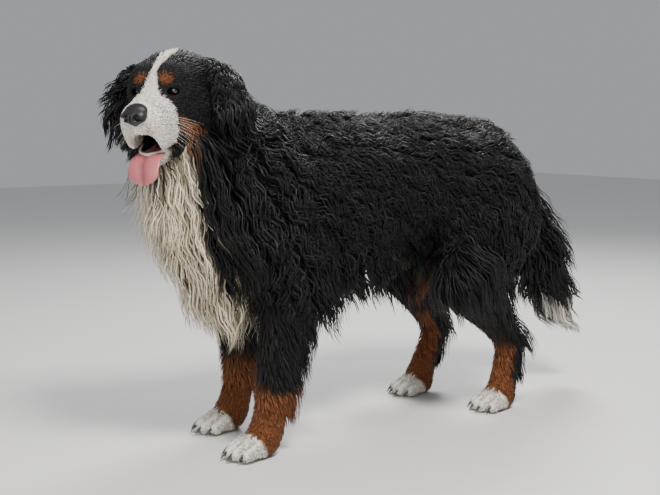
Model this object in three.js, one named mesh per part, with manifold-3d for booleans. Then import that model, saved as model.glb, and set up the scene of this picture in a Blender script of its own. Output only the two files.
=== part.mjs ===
// A Bernese mountain dog standing square with its head turned to its left and its mouth open, at life
// size, in millimetres.
// The dog faces -Y, its left side is +X, and its paws stand on Z = 0.
// Skin and half the coat are one smooth field of tapered limbs. Each node is that field's surface,
// parted from its neighbours
// by thin cuts, with the long coat's locks rooted in it.
import * as THREE from "three";
import { mergeVertices } from "three/addons/utils/BufferGeometryUtils.js";
import Module from "manifold-3d";

const wasm = await Module();
wasm.setup();

// Driving dimensions
const GAP = 0.3;
const WITHERS_Z = 690;
const CHEST_HALF_WIDTH = 158;
const BODY_Z = 525;
const BREAST_Y = -365;
const RUMP_Y = 385;
const ELBOW_Z = 345;
const WRIST_Z = 130;
const KNEE_Z = 325;
const HOCK_Z = 165;
const PAW_LENGTH = 112;
const PAW_WIDTH = 84;
const HEAD_CENTRE = [28, -488, 742];
const HEAD_YAW_DEG = 32;
const HEAD_PITCH_DEG = -10;
const JAW_OPEN_DEG = 17;
const EYE_RADIUS = 12.5;
const LOCK_SEED = 14;
// How far the solid core of each part's coat lies inside the middle of the coat
const BODY_CORE = -10;
const NECK_CORE = -10;
const LEG_CORE = -8;
const TAIL_CORE = -10;
const TRUNK_CELL = 64;

// Vectors are plain arrays of three numbers.
const add = (a, b) => [a[0] + b[0], a[1] + b[1], a[2] + b[2]];
const sub = (a, b) => [a[0] - b[0], a[1] - b[1], a[2] - b[2]];
const scale = (a, s) => [a[0] * s, a[1] * s, a[2] * s];
const dot = (a, b) => a[0] * b[0] + a[1] * b[1] + a[2] * b[2];
const cross = (a, b) => [a[1] * b[2] - a[2] * b[1], a[2] * b[0] - a[0] * b[2], a[0] * b[1] - a[1] * b[0]];
const length = (a) => Math.hypot(a[0], a[1], a[2]);
const unit = (a) => scale(a, 1 / Math.max(length(a), 1e-9));
const mix = (a, b, t) => add(scale(a, 1 - t), scale(b, t));
const clamp = (x, low, high) => Math.min(high, Math.max(low, x));
const UP = [0, 0, 1];

// The head's own frame: x to its left, -y along the muzzle, z up, with its origin in the middle of the
// skull.
const headTurn = new THREE.Matrix4()
  .makeRotationZ(THREE.MathUtils.degToRad(HEAD_YAW_DEG))
  .multiply(new THREE.Matrix4().makeRotationX(THREE.MathUtils.degToRad(-HEAD_PITCH_DEG)));
const headPoint = (p) => add(HEAD_CENTRE, new THREE.Vector3(...p).applyMatrix4(headTurn).toArray());
const headWay = (p) => new THREE.Vector3(...p).applyMatrix4(headTurn).toArray();

// A field is a list of limbs. A limb is a tapered bar with round ends from a to b. Its half-sizes at
// each end are measured
// along side and across it, and blend is how softly it joins the limbs before it. A carved limb is
// taken away.
function limb(a, b, sizeA, sizeB, blend, side = [1, 0, 0], carve = false) {
  const whole = sub(b, a);
  const axis = length(whole) > 1e-6 ? unit(whole) : unit(cross(side, UP));
  const across = unit(cross(axis, side));
  const reach = Math.max(...sizeA, ...sizeB);
  return { a, whole, axis, side: cross(across, axis), across, sizeA, sizeB, blend, carve, reach,
    span: length(whole) };
}
const ball = (centre, sizes, blend, side = [1, 0, 0], axis = [0, 1, 0]) => ({
  ...limb(centre, centre, sizes, sizes, blend, side),
  axis,
  side,
  across: unit(cross(axis, side)),
  capSize: sizes[2],
  reach: Math.max(...sizes),
});

function distanceTo(l, x, y, z) {
  const px = x - l.a[0];
  const py = y - l.a[1];
  const pz = z - l.a[2];
  const t = l.span > 0 ? clamp((px * l.whole[0] + py * l.whole[1] + pz * l.whole[2]) / (l.span * l.span), 0, 1) : 0;
  const qx = px - l.whole[0] * t;
  const qy = py - l.whole[1] * t;
  const qz = pz - l.whole[2] * t;
  const sizeU = l.sizeA[0] + (l.sizeB[0] - l.sizeA[0]) * t;
  const sizeV = l.sizeA[1] + (l.sizeB[1] - l.sizeA[1]) * t;
  const sizeW = l.capSize ?? (sizeU + sizeV) / 2;
  const u = (qx * l.side[0] + qy * l.side[1] + qz * l.side[2]) / sizeU;
  const v = (qx * l.across[0] + qy * l.across[1] + qz * l.across[2]) / sizeV;
  const w = (qx * l.axis[0] + qy * l.axis[1] + qz * l.axis[2]) / sizeW;
  const k0 = Math.hypot(u, v, w);
  const k1 = Math.hypot(u / sizeU, v / sizeV, w / sizeW);
  return k1 > 1e-12 ? (k0 * (k0 - 1)) / k1 : -Math.min(sizeU, sizeV, sizeW);
}

// How far a point is outside the joined limbs, below zero inside.
function fieldAt(limbs, p) {
  let d = 1e6;
  for (const l of limbs) {
    const e = distanceTo(l, p[0], p[1], p[2]);
    const h = Math.max(l.blend - Math.abs(l.carve ? d + e : d - e), 0) / l.blend;
    d = l.carve ? Math.max(d, -e) + (h * h * l.blend) / 4 : Math.min(d, e) - (h * h * l.blend) / 4;
  }
  return d;
}
function outward(limbs, p, step = 2) {
  const along = (axis) => fieldAt(limbs, add(p, scale(axis, step))) - fieldAt(limbs,
    sub(p, scale(axis, step)));
  return unit([along([1, 0, 0]), along([0, 1, 0]), along([0, 0, 1])]);
}
// The nearest point to p that is height above the field's surface.
function settle(limbs, p, height = 0, steps = 4) {
  for (let i = 0; i < steps; i++) p = sub(p, scale(outward(limbs, p), fieldAt(limbs, p) - height));
  return p;
}

// Torso and neck
const [HX, HY, HZ] = HEAD_CENTRE;
const bothSides = (make) => [1, -1].flatMap(make);
const torsoLimbs = [
  limb([0, -310, BODY_Z - 10], [0, -120, BODY_Z], [140, 160], [CHEST_HALF_WIDTH, WITHERS_Z - BODY_Z], 60),
  limb([0, -120, BODY_Z], [0, 150, BODY_Z + 24], [CHEST_HALF_WIDTH, WITHERS_Z - BODY_Z], [140, 146], 60),
  limb([0, 150, BODY_Z + 24], [0, 300, BODY_Z + 48], [140, 146], [120, 106], 60),
  limb([0, 300, BODY_Z + 48], [0, RUMP_Y, BODY_Z + 15], [120, 106], [84, 84], 60),
  limb([0, BREAST_Y, 510], [0, BREAST_Y + 20, 420], [104, 78], [86, 66], 70),
  ...bothSides((s) => [
    limb([s * 92, -300, 560], [s * 112, -285, 420], [58, 92], [58, 80], 60),
    limb([s * 82, 300, 530], [s * 96, 285, 470], [62, 112], [62, 112], 60),
  ]),
];
const neckLimbs = [
  limb([0, -285, 568], [HX * 0.6, HY + 68, HZ - 62], [112, 122], [88, 96], 70),
  limb([0, -330, 540], [HX * 0.8, HY + 14, HZ - 100], [88, 80], [62, 60], 60),
  limb([HX * 0.8, HY + 18, HZ - 128], [0, -430, 440], [94, 54], [86, 54], 50),
  limb([0, -430, 440], [0, -392, 350], [86, 54], [56, 46], 50),
];

// Legs: [foot x, hip or elbow y and z, and so on] come from the joints that carry them.
const foreLegs = { left: [1, -366], right: [-1, -322] };
const hindLegs = { left: [1, 190, 345, 300], right: [-1, 215, 312, 238] };
const FORE_X = 104;
const HIND_X = 114;
const FORE_PAW_LIFT = 29;

function pawLimbs([x, y, z], turn) {
  const toes = [-1.5, -0.5, 0.5, 1.5].map((i) => {
    const out = (i * PAW_WIDTH) / 4.3;
    const front = y - PAW_LENGTH * (Math.abs(i) > 1 ? 0.2 : 0.32);
    return limb([x + out, front + 22, z - 2], [x + out * 1.1 + turn, front - 12, z - 13], [12.5, 17],
      [11.5, 13.5], 7);
  });
  return [ball([x, y + 8, z - 6], [PAW_WIDTH / 2 - 5, PAW_LENGTH / 2 - 14, 27], 26, [1, 0, 0],
    [0, 0, 1]), ...toes];
}
function pawClaws([x, y, z], turn) {
  return [-1.5, -0.5, 0.5, 1.5].map((i) => {
    const out = (i * PAW_WIDTH) / 4.3;
    const front = y - PAW_LENGTH * (Math.abs(i) > 1 ? 0.2 : 0.32);
    return [[x + out * 1.1 + turn, front - 18, z - 13], [x + out * 1.12 + turn * 1.3, front - 34, z - 25]];
  });
}
function foreLegLimbs([s, pawY]) {
  const x = s * FORE_X;
  const wristY = pawY + 52;
  return [
    limb([s * 118, -285, 430], [s * 112, -272, ELBOW_Z], [60, 82], [48, 62], 50),
    limb([s * 112, -272, ELBOW_Z], [x, wristY, WRIST_Z], [48, 62], [34, 38], 40),
    limb([x, wristY, WRIST_Z], [x, pawY + 32, 55], [34, 37], [35, 36], 24),
    ...pawLimbs([x, pawY, FORE_PAW_LIFT], 0),
  ];
}
function hindLegLimbs([s, kneeY, hockY, pawY]) {
  const x = s * HIND_X;
  return [
    limb([s * 98, 300, 500], [s * 122, kneeY, KNEE_Z], [66, 118], [52, 68], 60),
    limb([s * 112, 345, 430], [s * 118, kneeY + 80, 290], [46, 62], [40, 50], 60),
    limb([s * 122, kneeY, KNEE_Z], [x, hockY, HOCK_Z], [50, 66], [27, 34], 50),
    limb([x, hockY, HOCK_Z], [x, pawY + 25, 55], [27, 32], [31, 34], 26),
    ...pawLimbs([x, pawY, FORE_PAW_LIFT - 1], 0),
  ];
}

// Tail
const TAIL_BONES = [[0, 415, 560], [0, 495, 475], [3, 560, 350], [8, 600, 228]];
const TAIL_SIZES = [[40, 44], [40, 44], [38, 42], [20, 24]];
const tailLimbs = [0, 1, 2].map((i) => limb(TAIL_BONES[i], TAIL_BONES[i + 1], TAIL_SIZES[i],
  TAIL_SIZES[i + 1], 30));

// Head, in the head's own frame
const inHead = (a, b, sizeA, sizeB, blend, side = [1, 0, 0], carve = false) =>
  limb(headPoint(a), headPoint(b), sizeA, sizeB, blend, headWay(side), carve);
const headBall = (p, sizes, blend) => ball(headPoint(p), sizes, blend, headWay([1, 0, 0]),
  headWay([0, 0, 1]));
const EYES = bothSides((s) => [[s * 37, -67, 9]]);
const MUZZLE_TIP_Y = -158;
const skullLimbs = [
  headBall([0, 0, 4], [76, 90, 66], 30),
  inHead([0, 12, -34], [0, 62, -62], [66, 60], [74, 74], 50),
  ...bothSides((s) => [
    headBall([s * 30, -46, 34], [32, 36, 26], 26),
    headBall([s * 48, -20, -34], [32, 52, 42], 34),
    inHead([s * 50, -52, 8], [s * 62, -22, -2], [20, 26], [22, 32], 26),
  ]),
  inHead([0, -62, -14], [0, MUZZLE_TIP_Y + 34, -29], [42, 36], [37, 31], 30),
  ...bothSides((s) => [
    inHead([s * 24, -80, -32], [s * 25, MUZZLE_TIP_Y + 30, -40], [24, 30], [23, 28], 20),
    inHead([s * 40, -66, -56], [s * 33, -124, -68], [14, 32], [13, 27], 18),
  ]),
  inHead([0, -112, -50], [0, MUZZLE_TIP_Y + 12, -50], [20, 24], [16, 19], 12),
];
const mouthCarve = [
  inHead([0, -40, -72], [0, MUZZLE_TIP_Y - 20, -84], [27, 16], [23, 14], 10, [1, 0, 0], true),
  inHead([0, MUZZLE_TIP_Y + 16, -66], [0, MUZZLE_TIP_Y - 20, -72], [3, 5], [4, 9], 6, [1, 0, 0], true),
];
const headLimbs = [...skullLimbs, ...mouthCarve];

// The lower jaw turns down about its hinge.
const JAW_HINGE = [0, -6, -46];
const jawTurn = new THREE.Matrix4().makeRotationX(THREE.MathUtils.degToRad(JAW_OPEN_DEG));
const jawPoint = (p) => add(JAW_HINGE,
  new THREE.Vector3(...sub(p, JAW_HINGE)).applyMatrix4(jawTurn).toArray());
const inJaw = (a, b, sizeA, sizeB, blend, carve = false) =>
  inHead(jawPoint(a), jawPoint(b), sizeA, sizeB, blend, [1, 0, 0], carve);
const jawLimbs = [
  ...bothSides((s) => [
    inJaw([s * 40, -12, -62], [s * 30, -92, -70], [15, 22], [12, 15], 16),
    inJaw([s * 30, -92, -70], [s * 10, -134, -68], [12, 15], [12, 12], 14),
  ]),
  inJaw([0, -30, -80], [0, -120, -80], [40, 13], [22, 12], 18),
  inJaw([0, -128, -70], [0, -134, -72], [17, 14], [14, 12], 14),
  inJaw([0, -40, -56], [0, -122, -58], [22, 12], [14, 9], 10, true),
];

// Tongue, from the back of the mouth over the chin and down: points of its middle line, with half its
// width and thickness
const TONGUE_PATH = [
  [0, -30, -87], [0, -38, -88], [0, -92, -100], [2, -128, -104], [5, -152, -114], [7, -163, -132],
    [8, -166, -152],
  [8, -167, -160],
];
const TONGUE_SIZES = [[14, 7], [20, 7], [26, 6], [30, 5], [31, 4.5], [22, 4]];

// Nose leather with its nostrils
const noseLimbs = [
  inHead([0, MUZZLE_TIP_Y + 6, -18], [0, MUZZLE_TIP_Y - 3, -24], [23.5, 14.5], [20.5, 13.5], 10),
  inHead([0, MUZZLE_TIP_Y + 2, -34], [0, MUZZLE_TIP_Y + 6, -44], [9, 9], [5, 7], 8),
  ...bothSides((s) => [
    headBall([s * 15.5, MUZZLE_TIP_Y - 3, -25], [10, 11, 10], 6),
    { ...headBall([s * 11, MUZZLE_TIP_Y - 15, -26], [5.5, 9, 6.5], 4), carve: true },
    { ...headBall([s * 22, MUZZLE_TIP_Y - 8, -29], [7, 9, 3], 4), carve: true },
  ]),
];

// Ears: flaps that hang from the side of the skull
const EAR_PATH = [
  [46, 8, 60], [52, 8, 56], [68, 11, 44], [84, 15, 27], [97, 19, 4], [107, 22, -28], [110, 24, -58],
    [110, 25, -80], [109, 26, -92],
];
const EAR_SIZES = [[9, 17], [12, 26], [13, 34], [13.5, 38], [13, 34], [11, 25], [7, 13]];
function earLimbs(s) {
  const out = [s, 0, 0.15];
  return [
    inHead([s * 64, 10, 46], [s * 96, 18, 12], [13, 26], [14, 38], 20, out),
    inHead([s * 96, 18, 12], [s * 110, 22, -42], [14, 38], [13, 30], 24, out),
    inHead([s * 110, 22, -42], [s * 110, 24, -74], [13, 30], [8, 14], 20, out),
  ];
}

const bodyLimbs = [
  ...torsoLimbs,
  ...neckLimbs,
  ...Object.values(foreLegs).flatMap(foreLegLimbs),
  ...Object.values(hindLegs).flatMap(hindLegLimbs),
  ...tailLimbs,
];
const wholeLimbs = [...bodyLimbs, ...headLimbs];

// Grid lines along one axis, from pairs of where a stretch starts and its spacing, up to the end.
function spread(stretches, end) {
  return stretches.flatMap(([start, spacing], i) => {
    const stop = stretches[i + 1]?.[0] ?? end;
    const cells = Math.max(1, Math.round((stop - start) / spacing));
    const last = i === stretches.length - 1;
    return Array.from({ length: cells + (last ? 1 : 0) }, (_, n) => start + ((stop - start) * n) / cells);
  });
}
const evenGrid = (low, high, cell) => [0, 1, 2].map((k) => spread([[low[k], cell]], high[k]));

// The closed surface of a field inside a grid of boxes, as a solid. One point is set in each box that
// the surface crosses, and
// four of them make two triangles round each grid edge that it crosses. place sets the grid in the
// dog's frame.
function surface(limbs, grid, level = 0, place = (p) => p) {
  const [nx, ny, nz] = grid.map((lines) => lines.length);
  const at = (i, j, k) => (k * ny + j) * nx + i;
  const values = new Float32Array(nx * ny * nz);
  const centre = place(grid.map((lines) => (lines[0] + lines.at(-1)) / 2));
  const radius = length(sub(place(grid.map((lines) => lines[0])), centre));
  const near = limbs.filter((l) =>
    length(sub(add(l.a, scale(l.whole, 0.5)), centre)) < radius + l.span / 2 + l.reach + l.blend);
  const cellSize = (i, j, k) => Math.min(...[i, j, k].map((n, axis) => grid[axis][n + 1] - grid[axis][n]));
  const gridPoint = (i, j, k) => [grid[0][i], grid[1][j], grid[2][k]];
  for (let k = 0; k < nz; k++)
    for (let j = 0; j < ny; j++)
      for (let i = 0; i < nx; i++) {
        const rim = i === 0 || j === 0 || k === 0 || i === nx - 1 || j === ny - 1 || k === nz - 1;
        values[at(i, j, k)] = rim ? 10 : fieldAt(near, place(gridPoint(i, j, k))) - level || 1e-4;
      }
  // A grid face with only two opposite corners inside would pinch the surface, so one more of its
  // corners goes in.
  const faceWays = [[1, nx], [1, nx * ny], [nx, nx * ny]];
  for (let changed = true; changed; ) {
    changed = false;
    for (let n = 0; n < values.length - 1 - nx - nx * ny; n++)
      for (const [a, b] of faceWays) {
        const inside = [n, n + a, n + a + b, n + b].map((m) => values[m] < 0);
        if (inside[0] === inside[2] && inside[1] === inside[3] && inside[0] !== inside[1]) {
          values[inside[0] ? n + a : n] = -0.2;
          changed = true;
        }
      }
  }
  const positions = [];
  const pointOf = new Map();
  const corners = [0, 1, 2, 3, 4, 5, 6, 7].map((c) => [c & 1, (c >> 1) & 1, c >> 2]);
  const edges = corners.flatMap((a, i) => corners.map((b, j) => [i, j]))
    .filter(([i, j]) => i < j && length(sub(corners[i], corners[j])) === 1);
  const boxPoint = (i, j, k) => {
    const key = at(i, j, k);
    if (pointOf.has(key)) return pointOf.get(key);
    const v = corners.map((c) => values[at(i + c[0], j + c[1], k + c[2])]);
    const spots = corners.map((c) => gridPoint(i + c[0], j + c[1], k + c[2]));
    const crossings = edges.filter(([m, n]) => v[m] < 0 !== v[n] < 0)
      .map(([m, n]) => mix(spots[m], spots[n], v[m] / (v[m] - v[n])));
    let p = place(scale(crossings.reduce(add, [0, 0, 0]), 1 / crossings.length));
    if ([i, j, k].every((n, axis) => n > 0 && n < grid[axis].length - 2)) {
      const size = cellSize(i, j, k);
      p = sub(p, scale(outward(near, p, size / 8), clamp(fieldAt(near, p) - level, -size / 4, size / 4)));
    }
    pointOf.set(key, positions.length / 3);
    positions.push(...p);
    return pointOf.get(key);
  };
  const faces = [];
  const quad = (a, b, c, d, flip) => {
    const point = (n) => positions.slice(n * 3, n * 3 + 3);
    const short = length(sub(point(a), point(c))) < length(sub(point(b), point(d)));
    const two = short ? [[a, b, c], [a, c, d]] : [[a, b, d], [b, c, d]];
    for (const f of two) faces.push(...(flip ? [f[0], f[2], f[1]] : f));
  };
  for (let k = 0; k < nz - 1; k++)
    for (let j = 0; j < ny - 1; j++)
      for (let i = 0; i < nx - 1; i++) {
        const inside = values[at(i, j, k)] < 0;
        if (inside !== values[at(i + 1, j, k)] < 0)
          quad(boxPoint(i, j - 1, k - 1), boxPoint(i, j, k - 1), boxPoint(i, j, k),
            boxPoint(i, j - 1, k), !inside);
        if (inside !== values[at(i, j + 1, k)] < 0)
          quad(boxPoint(i - 1, j, k - 1), boxPoint(i - 1, j, k), boxPoint(i, j, k),
            boxPoint(i, j, k - 1), !inside);
        if (inside !== values[at(i, j, k + 1)] < 0)
          quad(boxPoint(i - 1, j - 1, k), boxPoint(i, j - 1, k), boxPoint(i, j, k),
            boxPoint(i - 1, j, k), !inside);
      }
  return solidOf(new Float32Array(positions), new Uint32Array(faces));
}
const solidOf = (vertProperties, triVerts) =>
  new wasm.Manifold(new wasm.Mesh({ numProp: 3, vertProperties, triVerts }));

function solidOfGeometry(geometry) {
  geometry.deleteAttribute("normal");
  geometry.deleteAttribute("uv");
  const merged = mergeVertices(geometry, 1e-4);
  return solidOf(new Float32Array(merged.attributes.position.array), new Uint32Array(merged.index.array));
}
const largest = (solid) => solid.decompose().sort((a, b) => b.volume() - a.volume())[0];
// A surface moved out of its field by a clearance, to cut room for it in what it touches
function grown(solid, limbs) {
  const { vertProperties, triVerts } = solid.getMesh();
  const moved = new Float32Array(vertProperties.length);
  for (let i = 0; i < moved.length; i += 3) {
    const p = [...vertProperties.slice(i, i + 3)];
    moved.set(add(p, scale(outward(limbs, p), GAP * 1.4)), i);
  }
  return solidOf(moved, triVerts);
}
function boxSolid(low, high, grow = 0) {
  const size = sub(high, low).map((n) => Math.abs(n) + 2 * grow);
  return solidOfGeometry(new THREE.BoxGeometry(...size).translate(...mix(low, high, 0.5)));
}

// Locks of the long coat, each a flat tapered blade of three sides that starts in the coat's core and
// ends in a point
let seed = LOCK_SEED;
function random() {
  seed = (seed + 0x6d2b79f5) | 0;
  let t = Math.imul(seed ^ (seed >>> 15), 1 | seed);
  t = (t + Math.imul(t ^ (t >>> 7), 61 | t)) ^ t;
  return ((t ^ (t >>> 14)) >>> 0) / 4294967296;
}
const around = (value, spreadOf = 0.12) => value * (1 + (2 * random() - 1) * spreadOf);
const LOCK_TAPER = [0.72, 1, 0.8];

function lockSolid(path, facings, width, thickness, grow = 0) {
  const positions = [];
  LOCK_TAPER.forEach((taper, i) => {
    const along = unit(sub(path[i + 1], path[Math.max(i - 1, 0)]));
    const across = unit(cross(along, facings[i]));
    const facing = cross(across, along);
    const low = sub(path[i], scale(facing, grow));
    positions.push(...add(low, scale(across, (width * taper) / 2 + 2 * grow)));
    positions.push(...add(path[i], scale(facing, thickness * taper + grow)));
    positions.push(...sub(low, scale(across, (width * taper) / 2 + 2 * grow)));
  });
  const tip = path.at(-1);
  positions.push(...add(tip, scale(unit(sub(tip, path.at(-2))), 3 * grow)));
  const faces = [0, 1, 2];
  for (let k = 0; k < 3; k++) {
    const next = (k + 1) % 3;
    for (const ring of [0, 3]) faces.push(ring + k, ring + 3 + k, ring + 3 + next, ring + k,
      ring + 3 + next, ring + next);
    faces.push(6 + k, 9, 6 + next);
  }
  return solidOf(new Float32Array(positions), new Uint32Array(faces));
}

// A lock roots below the core's surface at start, leans along way, and rises to tipHeight over the
// surface. The more it hangs,
// the less it follows the surface under it.
function lock({ limbs = wholeLimbs, start, way, width, reach, thickness = 13, core, tipHeight = 14,
  hang = 0 }) {
  const heights = [core - 9, core + 5, (core + 5) * 0.4 + tipHeight * 0.6, tipHeight];
  const path = [settle(limbs, start, heights[0], 8)];
  const facings = [outward(limbs, path[0])];
  const aim = unit(way);
  const sway = (random() - 0.5) * 0.5;
  for (let i = 1; i < heights.length; i++) {
    const facing = facings[i - 1];
    const flat = unit(sub(aim, scale(facing, dot(aim, facing))));
    const bent = add(flat, scale(cross(flat, facing), sway * (i === 2 ? -1.4 : 1)));
    const p = add(path[i - 1], scale(unit(mix(bent, aim, hang)), reach / 3));
    const free = fieldAt(limbs, p) > heights[i] && hang > 0;
    path.push(free ? p : settle(limbs, p, heights[i]));
    facings.push(unit(mix(outward(limbs, path[i]), facing, hang)));
  }
  return (grow = 0) => lockSolid(path, facings, width, thickness, grow);
}

// A row of rings of ten points along path in the head's frame, closed by a point at each end. Sizes are
// each ring's half-sizes
// along side and across it, and groove pulls in the middle of the second.
function headLoft(path, sizes, side, grow = 0, groove = 1) {
  const sides = 10;
  const inner = path.slice(1, -1);
  const rings = inner.map((centre, i) => {
    const along = unit(sub(path[i + 2], path[i]));
    const across = unit(cross(along, side));
    const [u, v] = sizes[i].map((size) => size + grow);
    return Array.from({ length: sides }, (_, k) => {
      const angle = (2 * Math.PI * k) / sides;
      const depth = v * Math.cos(angle) * (k === 0 ? groove : 1);
      return headPoint(add(centre, add(scale(cross(across, along), u * Math.sin(angle)),
        scale(across, depth))));
    });
  });
  const past = (end, near) => add(end, scale(unit(sub(end, near)), grow));
  const ends = [past(path[0], path[1]), past(path.at(-1), path.at(-2))].map(headPoint);
  const last = (rings.length - 1) * sides;
  const [back, tip] = [last + sides, last + sides + 1];
  const faces = [];
  for (let k = 0; k < sides; k++) {
    const next = (k + 1) % sides;
    faces.push(k, next, back, last + next, last + k, tip);
    for (let ring = 0; ring < last; ring += sides)
      faces.push(ring + k, ring + sides + k, ring + sides + next, ring + k, ring + sides + next,
        ring + next);
  }
  return solidOf(new Float32Array([...rings.flat(), ...ends].flat()), new Uint32Array(faces));
}

// Rows of locks over an area. at(u, v) gives a start near the surface for u and v from 0 to 1, and
// every second row is moved
// by half a step, as shingles lie.
function rows([across, along], at, wayAt, options) {
  const placed = [];
  for (let row = 0; row < along; row++)
    for (let i = 0; i < across; i++) {
      const u = (i + 0.25 + (row % 2) / 2 + (random() - 0.5) * 0.25) / across;
      const v = (row + 0.5 + (random() - 0.5) * 0.25) / along;
      const start = at(u, v);
      const { width, reach } = options;
      placed.push(lock({ ...options, start, way: wayAt(start, u, v), width: around(width),
        reach: around(reach) }));
    }
  return placed;
}
const coatLocks = [];
const coat = (...area) => coatLocks.push(...rows(...area).map((make) => make()));
const turned = (angle) => [Math.sin(angle), 0, Math.cos(angle)];
const degrees = THREE.MathUtils.degToRad;

// Back and sides: the coat lies backward along the spine and more and more downward on the sides.
coat([7, 4], (u, v) => add([0, -215 + 590 * v, BODY_Z + 20], scale(turned(degrees(-140 + 280 * u)), 150)),
  (p, u) => [0, 1, -0.15 - 1.5 * Math.abs(u - 0.5)], { width: 118, reach: 205, core: BODY_CORE,
    tipHeight: 18 });
// Neck and shoulders
coat([7, 2], (u, v) => add(mix([HX * 0.7, HY + 92, HZ - 55], [0, -285, 570], v),
  scale(turned(degrees(-125 + 250 * u)), 125)),
  (p, u) => [0, 1 - 1.1 * Math.abs(u - 0.5), -0.45 - 1.2 * Math.abs(u - 0.5)],
  { width: 104, reach: 190, core: NECK_CORE, tipHeight: 20 });
// Ruff under the cheeks and down the throat
coat([5, 1], (u) => [HX * 0.8 + 240 * (u - 0.5), HY - 30 + 320 * Math.abs(u - 0.5) ** 1.5, HZ - 128],
  (p, u) => [(u - 0.5) * 0.5, 0, -1], { width: 84, reach: 165, core: NECK_CORE, tipHeight: 36 });
// Bib over the breast and between the forelegs
coat([4, 3], (u, v) => [190 * (u - 0.5), -505 + 80 * v + 200 * Math.abs(u - 0.5) ** 2, 560 - 225 * v],
  (p, u) => [(u - 0.5) * 0.3, 0.1, -1], { width: 78, reach: 150, core: NECK_CORE, tipHeight: 48,
    hang: 0.25 });
for (const s of [1, -1]) {
  // Fringe along the lower edge of the chest and belly
  coat([4, 1], (u) => [s * 88, -205 + 380 * u, BODY_Z - 130 + 30 * u],
    () => [s * 0.12, 0.35, -1], { width: 104, reach: 128, core: BODY_CORE, tipHeight: 40, hang: 0.75 });
  // Elbow and back of the foreleg
  const [, pawY] = foreLegs[s > 0 ? "left" : "right"];
  coat([1, 3], (u, v) => [s * 112, mix([-222], [pawY + 95], v)[0], 390 - 205 * v],
    () => [s * 0.08, 0.55, -1], { width: 52, reach: 105, core: LEG_CORE, tipHeight: 26, hang: 0.5 });
  // Thigh, breeches and hock
  const [, kneeY, hockY] = hindLegs[s > 0 ? "left" : "right"];
  coat([3, 1], (u) => [s * 200, kneeY + 215 * u, 440],
    (p, u) => [0, 0.15 + 0.4 * u, -1], { width: 92, reach: 165, core: LEG_CORE, tipHeight: 16 });
  coat([1, 4], (u, v) => [s * (95 + 15 * v), mix([450], [hockY + 50], v)[0], 440 - 225 * v],
    () => [0, 0.5, -1], { width: 74, reach: 120, core: LEG_CORE, tipHeight: 28, hang: 0.45 });
}
// Rump
coat([3, 1], (u) => [230 * (u - 0.5), 470, 570 - 60 * Math.abs(u - 0.5)],
  () => [0, 0.35, -1], { width: 96, reach: 150, core: BODY_CORE, tipHeight: 16 });
// Tail plume
coat([4, 3], (u, v) => {
  const spine = mix(TAIL_BONES[1], TAIL_BONES[3], v * 0.95);
  const round = 2 * Math.PI * u;
  return add(spine, add([45 * Math.sin(round), 0, 0], scale([0, 0.93, 0.37], 45 * Math.cos(round))));
}, (p, u) => [Math.sin(2 * Math.PI * u) * 0.35, 0.42 + Math.cos(2 * Math.PI * u) * 0.3, -1],
{ limbs: tailLimbs, width: 66, reach: 150, core: TAIL_CORE, tipHeight: 34, hang: 0.3 });

// Where each part of the body begins and ends. Each is a solid that can be grown, so that its neighbour
// stands clear of it.
const NECK_PLANE = { point: [0, -330, 600], normal: unit([0, -0.77, 0.64]) };
const TAIL_PLANE = { point: [0, 452, 522], normal: unit([0, 0.67, -0.74]) };
const NAPE_PLANE = { point: headPoint([0, 52, 0]), normal: headWay(unit([0, -1, 0.25])) };
const THROAT_PLANE = { point: headPoint([0, 0, -92]), normal: headWay(unit([0, -0.35, 1])) };
const beyond = (solid, { point, normal }, grow = 0) => solid.trimByPlane(normal, dot(point, normal) - grow);
const before = (solid, { point, normal }, grow = 0) => solid.trimByPlane(scale(normal, -1),
  -dot(point, normal) - grow);

const FORE_PAW_TOP = 60;
const HIND_PAW_TOP = 58;
const FORE_TOP = 405;
const HIND_TOP = 470;
const partBoxes = {};
for (const [name, s] of [["left", 1], ["right", -1]]) {
  partBoxes[`forepaw_${name}`] = [[s * 30, -520, 0], [s * 260, -150, FORE_PAW_TOP]];
  partBoxes[`foreleg_${name}`] = [[s * 52, -520, FORE_PAW_TOP + GAP], [s * 260, -158, FORE_TOP]];
  partBoxes[`hindpaw_${name}`] = [[s * 30, 90, 0], [s * 260, 470, HIND_PAW_TOP]];
  partBoxes[`hindleg_${name}`] = [[s * 46, 95, HIND_PAW_TOP + GAP], [s * 260, 470, HIND_TOP]];
}
const WORLD = [[-400, -900, -100], [400, 900, 1000]];
const headRegion = (grow = 0) => beyond(beyond(boxSolid(...WORLD), NAPE_PLANE, grow), THROAT_PLANE, grow);
const tailRegion = (grow = 0) => beyond(boxSolid([-110, 395, 60], [110, 760, 640], grow), TAIL_PLANE, grow);
const partRegion = (name, grow = 0) => boxSolid(...partBoxes[name], grow);
const legRegion = (name) => partRegion(name).subtract(tailRegion(GAP));

const touching = (a, b) => [0, 1, 2].every((k) => a.min[k] < b.max[k] && a.max[k] > b.min[k]);
function withLocks(core, region) {
  const box = region.boundingBox();
  const near = coatLocks.filter((solid) => touching(solid.boundingBox(), box));
  return largest(wasm.Manifold.union([core, ...near]).intersect(region));
}

const claws = (paw) => pawClaws(paw, 0).map(([root, tip]) =>
  lockSolid([root, mix(root, tip, 0.3), mix(root, tip, 0.65), tip], [UP, UP, UP], 9, 6));

const parts = {};
const faceGrid = [
  spread([[-132, 22], [-56, 11.5], [56, 22]], 132),
  spread([[-196, 11.5], [-40, 22]], 100),
  spread([[-176, 19], [-72, 11.5], [40, 19]], 104),
];
const jawGrid = [spread([[-80, 14]], 80), spread([[-190, 17]], 40), spread([[-175, 13]], -20)];
const noseGrid = [spread([[-42, 7]], 42), spread([[-195, 7]], -125), spread([[-62, 7]], 15)];

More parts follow.
